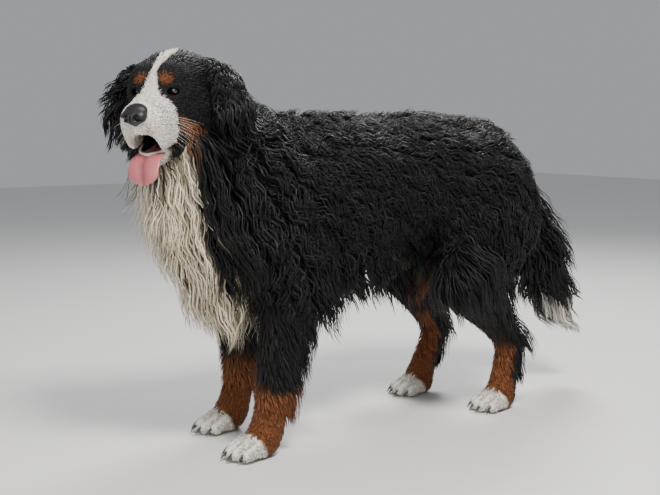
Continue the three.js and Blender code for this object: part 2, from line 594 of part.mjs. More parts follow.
const skullBall = (centre, sizes) => solidOfGeometry(new THREE.SphereGeometry(1, 12, 8)
  .rotateX(Math.PI / 2).scale(...sizes).translate(...centre).applyMatrix4(headTurn).translate(...HEAD_CENTRE));
const eyeBall = (e, grow = 0) => skullBall(e, [EYE_RADIUS + grow, EYE_RADIUS + grow, EYE_RADIUS + grow]);
// The lids part in an almond in front of each eye.
const lidOpening = ([x, y, z]) => skullBall([x * 1.1, y - 12, z + 0.5], [11, 14, 6.5]);
const tongueSolid = (grow) => headLoft(TONGUE_PATH, TONGUE_SIZES, [1, 0, 0], grow, 0.45);
const earFlap = (s, grow = 0) =>
  headLoft(EAR_PATH.map(([x, y, z]) => [s * x, y, z]), EAR_SIZES, [s, 0, 0.15], grow);
// Each ear's flap and the long hair at its lower edge, as pieces to join
const earPieces = {};
for (const [name, s] of [["left", 1], ["right", -1]]) {
  const start = (u) => headPoint([s * 122, -6 + 44 * u, -18 - 10 * Math.sin(Math.PI * u)]);
  const hair = rows([3, 1], start, (p, u) => headWay([s * 0.1, (u - 0.6) * 0.5, -1]),
    { limbs: earLimbs(s), width: 34, reach: 84, thickness: 7, core: 0, tipHeight: 9, hang: 0.4 });
  earPieces[name] = (grow) => [earFlap(s, grow), ...hair.map((make) => make(grow))];
}
// An upper and a lower lid along the edges of each eye's almond, from its inner to its outer corner
const lids = EYES.flatMap(([x, y, z]) => {
  const s = Math.sign(x);
  return [[[-13, -1], [-5, 6.5], [5, 6.5], [14, -2]], [[-13, -1], [-4, -6], [5, -6],
    [14, -2]]].map((edge) => {
    const path = edge.map(([along, up]) => settle(headLimbs,
      headPoint([x * 1.05 + s * along, y - 14, z + up]), -0.5, 8));
    return lockSolid(path, path.map((p) => outward(headLimbs, p)), 6, 3);
  });
});
const face = surface([...neckLimbs, ...headLimbs], faceGrid, 0, headPoint);
const jaw = surface(jawLimbs, jawGrid, 0, headPoint);
const earRoom = wasm.Manifold.union([...earPieces.left(GAP), ...earPieces.right(GAP)]);
const eyeRoom = wasm.Manifold.union(EYES.flatMap((e) => [eyeBall(e, GAP), lidOpening(e)]));
const faceRoom = grown(face, [...neckLimbs, ...headLimbs]);
const jawRoom = grown(jaw, jawLimbs);

parts.head = wasm.Manifold.union([face.intersect(headRegion()),
  ...lids]).subtract(earRoom).subtract(eyeRoom);
parts.nose = surface(noseLimbs, noseGrid, 0, headPoint).subtract(faceRoom);
parts.lower_jaw = jaw.subtract(faceRoom);
parts.tongue = tongueSolid(0).subtract(faceRoom).subtract(jawRoom);
EYES.forEach((e, i) => (parts[i ? "eye_right" : "eye_left"] = eyeBall(e)));
parts.ear_left = wasm.Manifold.union(earPieces.left(0));
parts.ear_right = wasm.Manifold.union(earPieces.right(0));

const trunk = surface(wholeLimbs, evenGrid([-280, -680, 160], [280, 600, 940], TRUNK_CELL), BODY_CORE);
const legRooms = wasm.Manifold.union(Object.keys(partBoxes).map((name) => partRegion(name, GAP)));
const rest = boxSolid(...WORLD).subtract(legRooms).subtract(tailRegion(GAP)).subtract(earRoom);
const faceRooms = wasm.Manifold.union([headRegion(GAP), jawRoom, tongueSolid(GAP)]);
parts.torso = withLocks(trunk, before(rest, NECK_PLANE, -GAP));
parts.neck = withLocks(trunk, beyond(rest, NECK_PLANE).subtract(faceRooms));
parts.tail = withLocks(surface(wholeLimbs, evenGrid([-110, 340, 130], [110, 720, 660], 36), TAIL_CORE),
  tailRegion());
for (const [name, s] of [["left", 1], ["right", -1]]) {
  const foot = (x, y, cell) => evenGrid([s * x - 80, y - 110, -48], [s * x + 80, y + 98, 112], cell);
  const foreGrid = evenGrid([s > 0 ? 0 : -240, -460, 0], [s > 0 ? 240 : 0, -100, 470], 36);
  const hindGrid = evenGrid([s > 0 ? 0 : -260, 40, 0], [s > 0 ? 260 : 0, 520, 540], 40);
  parts[`foreleg_${name}`] = withLocks(surface(wholeLimbs, foreGrid, LEG_CORE),
    legRegion(`foreleg_${name}`));
  parts[`hindleg_${name}`] = withLocks(surface(wholeLimbs, hindGrid, LEG_CORE),
    legRegion(`hindleg_${name}`));
  const paws = { forepaw: [FORE_X, foreLegs[name][1]], hindpaw: [HIND_X, hindLegs[name][3]] };
  for (const [paw, [x, y]] of Object.entries(paws))
    parts[`${paw}_${name}`] = wasm.Manifold.union([surface(wholeLimbs, foot(x, y, 16), 0),
      ...claws([x * s, y, FORE_PAW_LIFT])])
      .intersect(partRegion(`${paw}_${name}`));
}


const COLOURS = {
  nose: 0x17171a, tongue: 0xc9707a, eye_left: 0x24140c, eye_right: 0x24140c, lower_jaw: 0xd9cdb8,
    forepaw_left: 0xe6dfd2,
  forepaw_right: 0xe6dfd2, hindpaw_left: 0xe6dfd2, hindpaw_right: 0xe6dfd2,
};
const COAT_BLACK = 0x1b1a1c;
const WELD = 2e-3;
const WELD_PASSES = 3;
// The dog stands over the middle of its own bounding box.
const bounds = wasm.Manifold.union(Object.values(parts)).boundingBox();
const middle = mix(bounds.min, bounds.max, 0.5);
// A solid's largest closed surface as a mesh, once corners nearer than WELD are one and the slivers
// between them are gone
function welded(solid) {
  const { vertProperties, triVerts } = largest(solid.simplify(0.01)).getMesh();
  const geometry = new THREE.BufferGeometry()
    .setAttribute("position", new THREE.BufferAttribute(new Float32Array(vertProperties), 3))
    .setIndex(new THREE.BufferAttribute(new Uint32Array(triVerts), 1));
  return mergeVertices(geometry, WELD);
}
const group = new THREE.Group();
for (const [name, solid] of Object.entries(parts)) {
  let geometry = welded(solid.translate([-middle[0], -middle[1], 0]));
  for (let pass = 0; pass < WELD_PASSES; pass++) {
    geometry = welded(solidOf(geometry.attributes.position.array, geometry.index.array));
  }
  const wet = ["nose", "tongue", "eye_left", "eye_right"].includes(name);
  const material = new THREE.MeshStandardMaterial({ color: COLOURS[name] ?? COAT_BLACK,
    roughness: wet ? 0.35 : 0.85, metalness: 0 });
  const mesh = new THREE.Mesh(geometry, material);
  mesh.name = name;
  group.add(mesh);
}

export default group;
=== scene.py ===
import math

import bpy
import numpy as np
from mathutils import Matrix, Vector
from mathutils.kdtree import KDTree


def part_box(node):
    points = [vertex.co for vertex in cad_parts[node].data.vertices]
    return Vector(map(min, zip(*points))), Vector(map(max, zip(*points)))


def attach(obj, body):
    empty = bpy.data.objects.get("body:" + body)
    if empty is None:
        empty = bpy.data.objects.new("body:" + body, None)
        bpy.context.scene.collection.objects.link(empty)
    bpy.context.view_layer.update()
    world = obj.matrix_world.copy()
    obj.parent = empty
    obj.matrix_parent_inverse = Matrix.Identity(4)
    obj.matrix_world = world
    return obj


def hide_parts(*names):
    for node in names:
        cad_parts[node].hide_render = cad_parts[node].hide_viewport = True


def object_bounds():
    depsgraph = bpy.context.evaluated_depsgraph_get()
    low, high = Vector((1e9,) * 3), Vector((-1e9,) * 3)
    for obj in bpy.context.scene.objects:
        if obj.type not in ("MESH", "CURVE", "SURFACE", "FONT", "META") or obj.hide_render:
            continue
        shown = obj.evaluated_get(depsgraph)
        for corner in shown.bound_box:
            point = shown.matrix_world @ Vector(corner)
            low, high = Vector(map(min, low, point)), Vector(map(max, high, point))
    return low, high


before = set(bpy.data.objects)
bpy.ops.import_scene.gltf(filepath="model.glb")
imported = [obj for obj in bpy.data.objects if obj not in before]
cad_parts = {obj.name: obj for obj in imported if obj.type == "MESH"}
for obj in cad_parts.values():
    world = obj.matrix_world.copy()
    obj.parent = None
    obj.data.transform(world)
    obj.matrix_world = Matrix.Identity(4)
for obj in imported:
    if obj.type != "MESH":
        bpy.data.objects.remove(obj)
cad_low, cad_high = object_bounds()
rng = np.random.default_rng(7)

MM = 0.001
HEAD_CENTRE = np.array([28.0, -488.0, 742.0])
HEAD_YAW, HEAD_PITCH = math.radians(32), math.radians(-10)
JAW_OPEN = math.radians(17)
EYE_RADIUS = 12.5
EYES = [np.array([side * 37.0, -67.0, 9.0]) for side in (1, -1)]


# Vectors and the head's own frame
def unit(v):
    v = np.asarray(v, float)
    return v / np.maximum(np.linalg.norm(v, axis=-1, keepdims=True), 1e-9)


def in_columns(*parts):
    """An array with these values or rows of values as its columns."""
    return np.stack(np.broadcast_arrays(*parts), 1)


def turn_x(angle):
    c, s = math.cos(angle), math.sin(angle)
    return np.array([[1, 0, 0], [0, c, -s], [0, s, c]])


def turn_z(angle):
    c, s = math.cos(angle), math.sin(angle)
    return np.array([[c, -s, 0], [s, c, 0], [0, 0, 1]])


HEAD_TURN = turn_z(HEAD_YAW) @ turn_x(-HEAD_PITCH)
JAW_HINGE = np.array([0.0, -6.0, -46.0])


def from_head(p):
    return np.asarray(p, float) @ HEAD_TURN.T + HEAD_CENTRE


def to_head(p):
    return (np.asarray(p, float) - HEAD_CENTRE) @ HEAD_TURN


def jaw_point(p):
    return JAW_HINGE + turn_x(JAW_OPEN) @ (np.asarray(p, float) - JAW_HINGE)


def ramp(low, high, value):
    t = np.clip((value - low) / (high - low), 0, 1)
    return t * t * (3 - 2 * t)


# The frame's origin is under the middle of the dog's box. Its place comes from an eye, which the head's frame
# knows as well.
eye_low, eye_high = (np.array(corner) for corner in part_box("eye_left"))
SHIFT = (eye_low + eye_high) / 2 / MM - from_head(EYES[0])
SHIFT[2] = 0

# Camera: as high and as far off as the photographer stood
CAMERA_AT = np.array([1946.0, -1488.0, 683.0])
CAMERA_AZIMUTH, CAMERA_DOWN = math.radians(54.5), math.radians(6.68)
camera_data = bpy.data.cameras.new("camera")
camera_data.lens = 59.2
camera = bpy.data.objects.new("camera", camera_data)
camera.location = Vector((CAMERA_AT + SHIFT) * MM)
camera.rotation_euler = (math.pi / 2 - CAMERA_DOWN, 0, CAMERA_AZIMUTH)
bpy.context.scene.collection.objects.link(camera)
bpy.context.scene.camera = camera


# A field is a list of tapered round-ended bars. Each is softly joined to those before it or carved out.
class Bar:
    def __init__(self, a, b, size_a, size_b, blend, side=(1, 0, 0), carve=False, axis=None, cap=None):
        self.a, self.b = np.asarray(a, float), np.asarray(b, float)
        self.whole = self.b - self.a
        self.span = np.linalg.norm(self.whole)
        side = np.asarray(side, float)
        self.axis = unit(self.whole) if axis is None else np.asarray(axis, float)
        self.across = unit(np.cross(self.axis, side))
        self.side = np.cross(self.across, self.axis)
        self.size_a, self.size_b, self.blend, self.carve, self.cap = size_a, size_b, blend, carve, cap
        self.reach = max(*size_a, *size_b, cap or 0)

    def distance(self, x, y, z):
        px, py, pz = x - self.a[0], y - self.a[1], z - self.a[2]
        t = 0.0
        if self.span > 1e-6:
            along = px * self.whole[0] + py * self.whole[1] + pz * self.whole[2]
            t = np.clip(along / self.span**2, 0, 1)
        qx, qy, qz = px - self.whole[0] * t, py - self.whole[1] * t, pz - self.whole[2] * t
        size_u = self.size_a[0] + (self.size_b[0] - self.size_a[0]) * t
        size_v = self.size_a[1] + (self.size_b[1] - self.size_a[1]) * t
        size_w = self.cap or (size_u + size_v) / 2
        u = (qx * self.side[0] + qy * self.side[1] + qz * self.side[2]) / size_u
        v = (qx * self.across[0] + qy * self.across[1] + qz * self.across[2]) / size_v
        w = (qx * self.axis[0] + qy * self.axis[1] + qz * self.axis[2]) / size_w
        k0 = np.sqrt(u * u + v * v + w * w)
        k1 = np.sqrt((u / size_u) ** 2 + (v / size_v) ** 2 + (w / size_w) ** 2)
        return k0 * (k0 - 1) / np.maximum(k1, 1e-9)


def ball(centre, sizes, blend, side=(1, 0, 0), axis=(0, 0, 1), carve=False):
    return Bar(centre, centre, sizes[:2], sizes[:2], blend, side, carve, axis, sizes[2])


FAR = 80.0


class Field:
    """The joined bars on an even grid, read anywhere by interpolation."""

    def __init__(self, bars, low, high, cell):
        self.low, self.cell = np.asarray(low, float), cell
        counts = np.ceil((np.asarray(high, float) - self.low) / cell).astype(int) + 1
        self.lines = [self.low[k] + cell * np.arange(counts[k]) for k in range(3)]
        self.values = np.full(counts, FAR, np.float32)
        for bar in bars:
            pad = bar.reach + bar.blend + (4 if bar.carve else FAR)
            near_low, near_high = np.minimum(bar.a, bar.b) - pad, np.maximum(bar.a, bar.b) + pad
            spans = [slice(*np.searchsorted(self.lines[k], [near_low[k], near_high[k]])) for k in range(3)]
            if any(s.start == s.stop for s in spans):
                continue
            block = self.values[tuple(spans)]
            x, y, z = (self.lines[k][spans[k]] for k in range(3))
            e = bar.distance(x[:, None, None], y[None, :, None], z[None, None, :])
            if bar.carve:
                h = np.maximum(bar.blend - np.abs(block + e), 0) / bar.blend
                block[:] = np.maximum(block, -e) + h * h * bar.blend / 4
            else:
                h = np.maximum(bar.blend - np.abs(block - e), 0) / bar.blend
                block[:] = np.minimum(block, e) - h * h * bar.blend / 4

    def at(self, p):
        q = (p - self.low) / self.cell
        most = np.array(self.values.shape) - 2
        base = np.clip(np.floor(q).astype(int), 0, most)
        f = np.clip(q - base, 0, 1)
        total = 0
        for dx in (0, 1):
            for dy in (0, 1):
                for dz in (0, 1):
                    weight = (
                        (f[:, 0] if dx else 1 - f[:, 0])
                        * (f[:, 1] if dy else 1 - f[:, 1])
                        * (f[:, 2] if dz else 1 - f[:, 2])
                    )
                    total = total + weight * self.values[base[:, 0] + dx, base[:, 1] + dy, base[:, 2] + dz]
        return total

    def outward(self, p):
        h = self.cell
        ways = np.eye(3) * h
        return unit(np.stack([self.at(p + w) - self.at(p - w) for w in ways], axis=1))


EDGES = [(a, b) for a in range(8) for b in range(a + 1, 8) if bin(a ^ b).count("1") == 1]


def net(values, low, cell):
    """The closed surface where values cross zero: a point in each box, a quad round each crossed edge."""
    values = values.copy()
    for k in range(3):
        rim = [slice(None)] * 3
        for end in (0, -1):
            rim[k] = end
            values[tuple(rim)] = np.maximum(values[tuple(rim)], 0.5)
    inside = values < 0
    corners = [(c & 1, (c >> 1) & 1, c >> 2) for c in range(8)]
    nx, ny, nz = (n - 1 for n in values.shape)
    count = sum(inside[c[0] : c[0] + nx, c[1] : c[1] + ny, c[2] : c[2] + nz].astype(int) for c in corners)
    boxes = np.argwhere((count > 0) & (count < 8))
    index = np.full((nx, ny, nz), -1)
    index[tuple(boxes.T)] = np.arange(len(boxes))
    total, hits = np.zeros((len(boxes), 3)), np.zeros(len(boxes))
    for a, b in EDGES:
        ca, cb = np.array(corners[a]), np.array(corners[b])
        va, vb = values[tuple((boxes + ca).T)], values[tuple((boxes + cb).T)]
        crossed = (va < 0) != (vb < 0)
        t = np.where(crossed, va / np.where(crossed, va - vb, 1), 0)
        total += np.where(crossed[:, None], ca + t[:, None] * (cb - ca), 0)
        hits += crossed
    points = low + cell * (boxes + total / hits[:, None])
    quads = []
    for k in range(3):
        step = np.zeros(3, int)
        step[k] = 1
        here = inside[: inside.shape[0] - step[0], : inside.shape[1] - step[1], : inside.shape[2] - step[2]]
        there = inside[step[0] :, step[1] :, step[2] :]
        spots = np.argwhere(here != there)
        out = here[tuple(spots.T)]
        i, j = [np.eye(3, dtype=int)[(k + n) % 3] for n in (1, 2)]
        around = np.stack([index[tuple((spots - d).T)] for d in (i + j, j, 0 * i, i)], axis=1)
        quads.append(np.where(out[:, None], around, around[:, ::-1]))
    return points, np.concatenate(quads)


def shell(field, level, rest=None):
    """The field's surface at a level, which may change from place to place, kept inside other values."""
    grid = np.meshgrid(*field.lines, indexing="ij", sparse=True)
    values = field.values - (level(*grid) if callable(level) else level)
    if rest is not None:
        values = np.maximum(values, rest(*grid))
    return net(values, field.low, field.cell)


# Mesh making
def mesh_object(name, points, faces, smooth=True):
    mesh = bpy.data.meshes.new(name)
    points = ((points + SHIFT) * MM).astype(np.float32)
    mesh.vertices.add(len(points))
    mesh.vertices.foreach_set("co", points.ravel())
    mesh.loops.add(faces.size)
    mesh.loops.foreach_set("vertex_index", faces.astype(np.int32).ravel())
    mesh.polygons.add(len(faces))
    mesh.polygons.foreach_set("loop_start", np.arange(0, faces.size, faces.shape[1], dtype=np.int32))
    mesh.polygons.foreach_set("use_smooth", np.full(len(faces), smooth))
    mesh.update(calc_edges=True)
    made = bpy.data.objects.new(name, mesh)
    bpy.context.scene.collection.objects.link(made)
    return made


def paint(obj, name, colours):
    attribute = obj.data.color_attributes.new(name, "FLOAT_COLOR", "POINT")
    rgba = np.ones((len(colours), 4), np.float32)
    rgba[:, :3] = colours[:, :3]
    if colours.shape[1] == 4:
        rgba[:, 3] = colours[:, 3]
    attribute.data.foreach_set("color", rgba.ravel())


def own(obj, material, slot, *nodes):
    obj.data.materials.append(material)
    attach(obj, "root")
    if nodes:
        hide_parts(*nodes)
    return obj


# The dog's bars: the same sizes as its solids
CHEST_HALF, BODY_Z, WITHERS_Z, BREAST_Y, RUMP_Y = 158, 525, 690, -365, 385
ELBOW_Z, WRIST_Z, KNEE_Z, HOCK_Z = 345, 130, 325, 165
PAW_LENGTH, PAW_WIDTH, PAW_LIFT = 112, 84, 29
HX, HY, HZ = HEAD_CENTRE
FORE_X, HIND_X = 104, 114
FORE_LEGS = {1: -366, -1: -322}
HIND_LEGS = {1: (190, 345, 300), -1: (215, 312, 238)}
TAIL_BONES = np.array([[0, 415, 560], [0, 495, 475], [3, 560, 350], [8, 600, 228]], float)
TAIL_SIZES = [(40, 44), (40, 44), (38, 42), (20, 24)]


def toes(paw_y):
    """How far out each toe of a paw stands, and where its front is."""
    steps = (-1.5, -0.5, 0.5, 1.5)
    return [(i * PAW_WIDTH / 4.3, paw_y - PAW_LENGTH * (0.2 if abs(i) > 1 else 0.32)) for i in steps]


def paw_bars(x, y, lift):
    bars = [ball((x, y + 8, lift - 6), (PAW_WIDTH / 2 - 5, PAW_LENGTH / 2 - 14, 27), 26)]
    for out, front in toes(y):
        root, tip = (x + out, front + 22, lift - 2), (x + out * 1.1, front - 12, lift - 13)
        bars.append(Bar(root, tip, (12.5, 17), (11.5, 13.5), 7))
    return bars


def body_bars():
    half = WITHERS_Z - BODY_Z
    bars = [
        Bar((0, -310, BODY_Z - 10), (0, -120, BODY_Z), (140, 160), (CHEST_HALF, half), 60),
        Bar((0, -120, BODY_Z), (0, 150, BODY_Z + 24), (CHEST_HALF, half), (140, 146), 60),
        Bar((0, 150, BODY_Z + 24), (0, 300, BODY_Z + 48), (140, 146), (120, 106), 60),
        Bar((0, 300, BODY_Z + 48), (0, RUMP_Y, BODY_Z + 15), (120, 106), (84, 84), 60),
        Bar((0, BREAST_Y, 510), (0, BREAST_Y + 20, 420), (104, 78), (86, 66), 70),
    ]
    for s in (1, -1):
        bars += [
            Bar((s * 92, -300, 560), (s * 112, -285, 420), (58, 92), (58, 80), 60),
            Bar((s * 82, 300, 530), (s * 96, 285, 470), (62, 112), (62, 112), 60),
        ]
    bars += [
        Bar((0, -285, 568), (HX * 0.6, HY + 68, HZ - 62), (112, 122), (88, 96), 70),
        Bar((0, -330, 540), (HX * 0.8, HY + 14, HZ - 100), (88, 80), (62, 60), 60),
        Bar((HX * 0.8, HY + 18, HZ - 128), (0, -430, 440), (94, 54), (86, 54), 50),
        Bar((0, -430, 440), (0, -392, 350), (86, 54), (56, 46), 50),
    ]
    for s, paw_y in FORE_LEGS.items():
        x, wrist_y = s * FORE_X, paw_y + 52
        bars += [
            Bar((s * 118, -285, 430), (s * 112, -272, ELBOW_Z), (60, 82), (48, 62), 50),
            Bar((s * 112, -272, ELBOW_Z), (x, wrist_y, WRIST_Z), (48, 62), (34, 38), 40),
            Bar((x, wrist_y, WRIST_Z), (x, paw_y + 32, 55), (34, 37), (35, 36), 24),
        ] + paw_bars(x, paw_y, PAW_LIFT)
    for s, (knee_y, hock_y, paw_y) in HIND_LEGS.items():
        x = s * HIND_X
        bars += [
            Bar((s * 98, 300, 500), (s * 122, knee_y, KNEE_Z), (66, 118), (52, 68), 60),
            Bar((s * 112, 345, 430), (s * 118, knee_y + 80, 290), (46, 62), (40, 50), 60),
            Bar((s * 122, knee_y, KNEE_Z), (x, hock_y, HOCK_Z), (50, 66), (27, 34), 50),
            Bar((x, hock_y, HOCK_Z), (x, paw_y + 25, 55), (27, 32), (31, 34), 26),
        ] + paw_bars(x, paw_y, PAW_LIFT - 1)
    for i in range(3):
        bars.append(Bar(TAIL_BONES[i], TAIL_BONES[i + 1], TAIL_SIZES[i], TAIL_SIZES[i + 1], 30))
    return bars


# Head bars, in the head's own frame
MUZZLE_TIP = -158
MOUTH_BARS = [
    Bar((0, -40, -72), (0, MUZZLE_TIP - 20, -84), (27, 16), (23, 14), 10, carve=True),
    Bar((0, MUZZLE_TIP + 16, -66), (0, MUZZLE_TIP - 20, -72), (3, 5), (4, 9), 6, carve=True),
]


def skull_bars():
    bars = [
        ball((0, 0, 4), (76, 90, 66), 30),
        Bar((0, 12, -34), (0, 62, -62), (66, 60), (74, 74), 50),
    ]
    for s in (1, -1):
        bars += [
            ball((s * 30, -46, 34), (32, 36, 26), 26),
            ball((s * 48, -20, -34), (32, 52, 42), 34),
            Bar((s * 50, -52, 8), (s * 62, -22, -2), (20, 26), (22, 32), 26),
        ]
    bars.append(Bar((0, -62, -14), (0, MUZZLE_TIP + 34, -29), (42, 36), (37, 31), 30))
    for s in (1, -1):
        bars += [
            Bar((s * 24, -80, -32), (s * 25, MUZZLE_TIP + 30, -40), (24, 30), (23, 28), 20),
            Bar((s * 40, -66, -56), (s * 33, -124, -68), (14, 32), (13, 27), 18),
        ]
    bars.append(Bar((0, -112, -50), (0, MUZZLE_TIP + 12, -50), (20, 24), (16, 19), 12))
    for eye in EYES:
        out = np.sign(eye[0])
        bars += [
            ball(eye + (0, 1, 0), (EYE_RADIUS + 3.2,) * 3, 9),
            Bar(eye + (-out * 10, -6, 13), eye + (out * 12, -1, 12), (7, 5), (6, 5), 8),
            ball((eye[0] * 1.08, eye[1] - 12.5, eye[2] - 0.5), (9.5, 14.5, 5.2), 2, carve=True),
        ]
    return bars + MOUTH_BARS


def jaw_bars():
    bars = []
    for s in (1, -1):
        bars += [
            Bar(jaw_point((s * 40, -12, -62)), jaw_point((s * 30, -92, -70)), (15, 22), (12, 15), 16),
            Bar(jaw_point((s * 30, -92, -70)), jaw_point((s * 10, -134, -68)), (12, 15), (12, 12), 14),
        ]
    return bars + [
        Bar(jaw_point((0, -30, -80)), jaw_point((0, -120, -80)), (40, 13), (22, 12), 18),
        Bar(jaw_point((0, -128, -70)), jaw_point((0, -134, -72)), (17, 14), (14, 12), 14),
        Bar(jaw_point((0, -40, -56)), jaw_point((0, -122, -58)), (22, 12), (14, 9), 10, carve=True),
    ]


def nose_bars():
    tip = MUZZLE_TIP
    bars = [
        Bar((0, tip + 6, -18), (0, tip - 3, -24), (23.5, 14.5), (20.5, 13.5), 10),
        Bar((0, tip + 2, -34), (0, tip + 6, -44), (9, 9), (5, 7), 8),
    ]
    for s in (1, -1):
        slit = (s * 15, tip - 13, -27), (s * 25, tip - 4, -30)
        bars += [
            ball((s * 15.5, tip - 3, -25), (10, 11, 10), 6),
            ball((s * 11, tip - 15, -26), (5.5, 9, 6.5), 3, carve=True),
            Bar(*slit, (3.6, 2.8), (3, 2), 2, (0, 0, 1), carve=True),
        ]
    bars.append(Bar((0, tip - 20, -22), (0, tip - 8, -46), (1, 4), (1, 4), 1.5, carve=True))
    return bars


def ear_bars(s):
    out = (s, 0, 0.15)
    return [
        Bar((s * 64, 10, 46), (s * 96, 18, 12), (13, 26), (14, 38), 20, out),
        Bar((s * 96, 18, 12), (s * 110, 22, -42), (14, 38), (13, 30), 24, out),
        Bar((s * 110, 22, -42), (s * 110, 24, -74), (13, 30), (8, 14), 20, out),
    ]


body_field = Field(body_bars(), (-230, -600, -10), (230, 730, 860), 5)
paw_field = Field(body_bars(), (-160, -450, -10), (160, 370, 112), 2.5)
head_field = Field(skull_bars(), (-104, -190, -160), (104, 150, 98), 2)
jaw_field = Field(jaw_bars(), (-70, -170, -190), (70, 30, -30), 2)
nose_field = Field(nose_bars(), (-44, -200, -66), (44, -120, 18), 1.1)
mouth = [Bar(b.a, b.b, b.size_a, b.size_b, b.blend) for b in MOUTH_BARS]
mouth_field = Field(mouth, (-60, -200, -110), (60, 0, -20), 2)
ear_fields = {}
for s in (1, -1):
    inner, outer = sorted((s * 20, s * 160))
    ear_fields[s] = Field(ear_bars(s), (inner, -60, -130), (outer, 100, 110), 2.5)

# How deep the skin lies under the middle of the coat
SKIN_BODY, SKIN_LEG, SKIN_PAW, SKIN_HEAD, SKIN_EAR = -14.0, -7.0, -2.0, -2.5, -4.0
PAW_TOP = 100.0


def skin_level(x, y, z):
    tail = ramp(400, 470, y) * ramp(560, 500, z)
    level = SKIN_LEG + (SKIN_BODY - SKIN_LEG) * np.maximum(ramp(290, 400, z), tail)
    level = level + 10 * tail * ramp(420, 280, z)
    return level + (SKIN_PAW - SKIN_LEG) * ramp(110, 60, z)


body_shell = shell(body_field, skin_level, lambda x, y, z: PAW_TOP - 3 - z)
paw_shell = shell(paw_field, skin_level, lambda x, y, z: z - PAW_TOP)
head_shell = shell(head_field, SKIN_HEAD)
jaw_shell = shell(jaw_field, -1.5)
ear_shells = {s: shell(ear_fields[s], SKIN_EAR) for s in (1, -1)}


# Markings: black, with a white blaze, muzzle, bib, toes and tail tip, and rust between. The same formulas
# paint skin and coat.
BLACK = np.array([0.0050, 0.0045, 0.0048])
WHITE = np.array([0.74, 0.69, 0.61])
CREAM = np.array([0.76, 0.665, 0.50])
RUST = np.array([0.165, 0.053, 0.016])
PINK = np.array([0.42, 0.17, 0.15])


def wobble(p, size, seed=0.0):
    """Smooth waves of about that size, from -1 to 1, which roughen the edge of a marking."""
    q = p / size
    a = np.sin(q[:, 0] * 2.1 + 1.7 * np.sin(q[:, 1] * 1.3 + seed) + seed)
    b = np.sin(q[:, 2] * 2.4 + 1.5 * np.sin(q[:, 0] * 1.6 + 2 * seed) + 1.3)
    c = np.sin(q[:, 1] * 1.9 + 1.4 * np.sin(q[:, 2] * 1.7 - seed) + 4.1)
    return (a + b + c) / 3


def lay(colours, colour, amount):
    return colours + (colour - colours) * np.clip(amount, 0, 1)[:, None]


def rear_of_leg(p):
    """How far behind the middle of its leg a point lies, in millimetres."""
    x, y, z = p.T
    left = x > 0
    fore_y = np.interp(z, [30, WRIST_Z, ELBOW_Z], [0, 1, 2])
    paw = np.where(left, FORE_LEGS[1], FORE_LEGS[-1])
    fore = np.where(fore_y < 1, paw + 20 + 32 * fore_y, (paw + 52) * (2 - fore_y) - 272 * (fore_y - 1))
    knee, hock, toe = (np.where(left, HIND_LEGS[1][k], HIND_LEGS[-1][k]) for k in range(3))
    below_hock = toe + 20 + (hock - toe - 20) * z / HOCK_Z
    above_hock = hock + (knee - hock) * np.clip((z - HOCK_Z) / (KNEE_Z - HOCK_Z), 0, 1.4)
    return y - np.where(y < 0, fore, np.where(z < HOCK_Z, below_hock, above_hock))


def head_marks(q):
    x, y, z = np.abs(q[:, 0]), q[:, 1], q[:, 2]
    edge = wobble(q, 9)
    c = np.tile(BLACK, (len(q), 1))
    cheek = ramp(17, 9, np.abs(z + 62 + 0.55 * (y + 60)) + edge * 5) * ramp(-92, -80, y) * ramp(30, 5, y)
    jowl = ramp(-58, -70, z + edge * 4) * ramp(-80, -66, y) * ramp(20, -10, y)
    c = lay(c, RUST, np.maximum(cheek, jowl) * ramp(22, 34, x))
    brow = ramp(13, 8, np.hypot(x - 26, (z - 33) / 0.9) + edge * 2) * ramp(-30, -45, y)
    c = lay(c, RUST * 0.85, brow)
    muzzle = ramp(-95, -99, y + edge * 3 - 0.05 * np.maximum(-z - 30, 0) + 0.3 * np.maximum(z + 14, 0))
    c = lay(c, WHITE, muzzle)
    width = np.interp(y, [-112, -98, -84, -66, -48, -30, -8, 4], [30, 17, 8, 7, 11, 13, 7, 0])
    blaze = ramp(width + 2.5, width - 1.5, x + edge * 2) * ramp(-22, -8, z) * ramp(6, 0, y)
    return lay(c, WHITE, blaze)


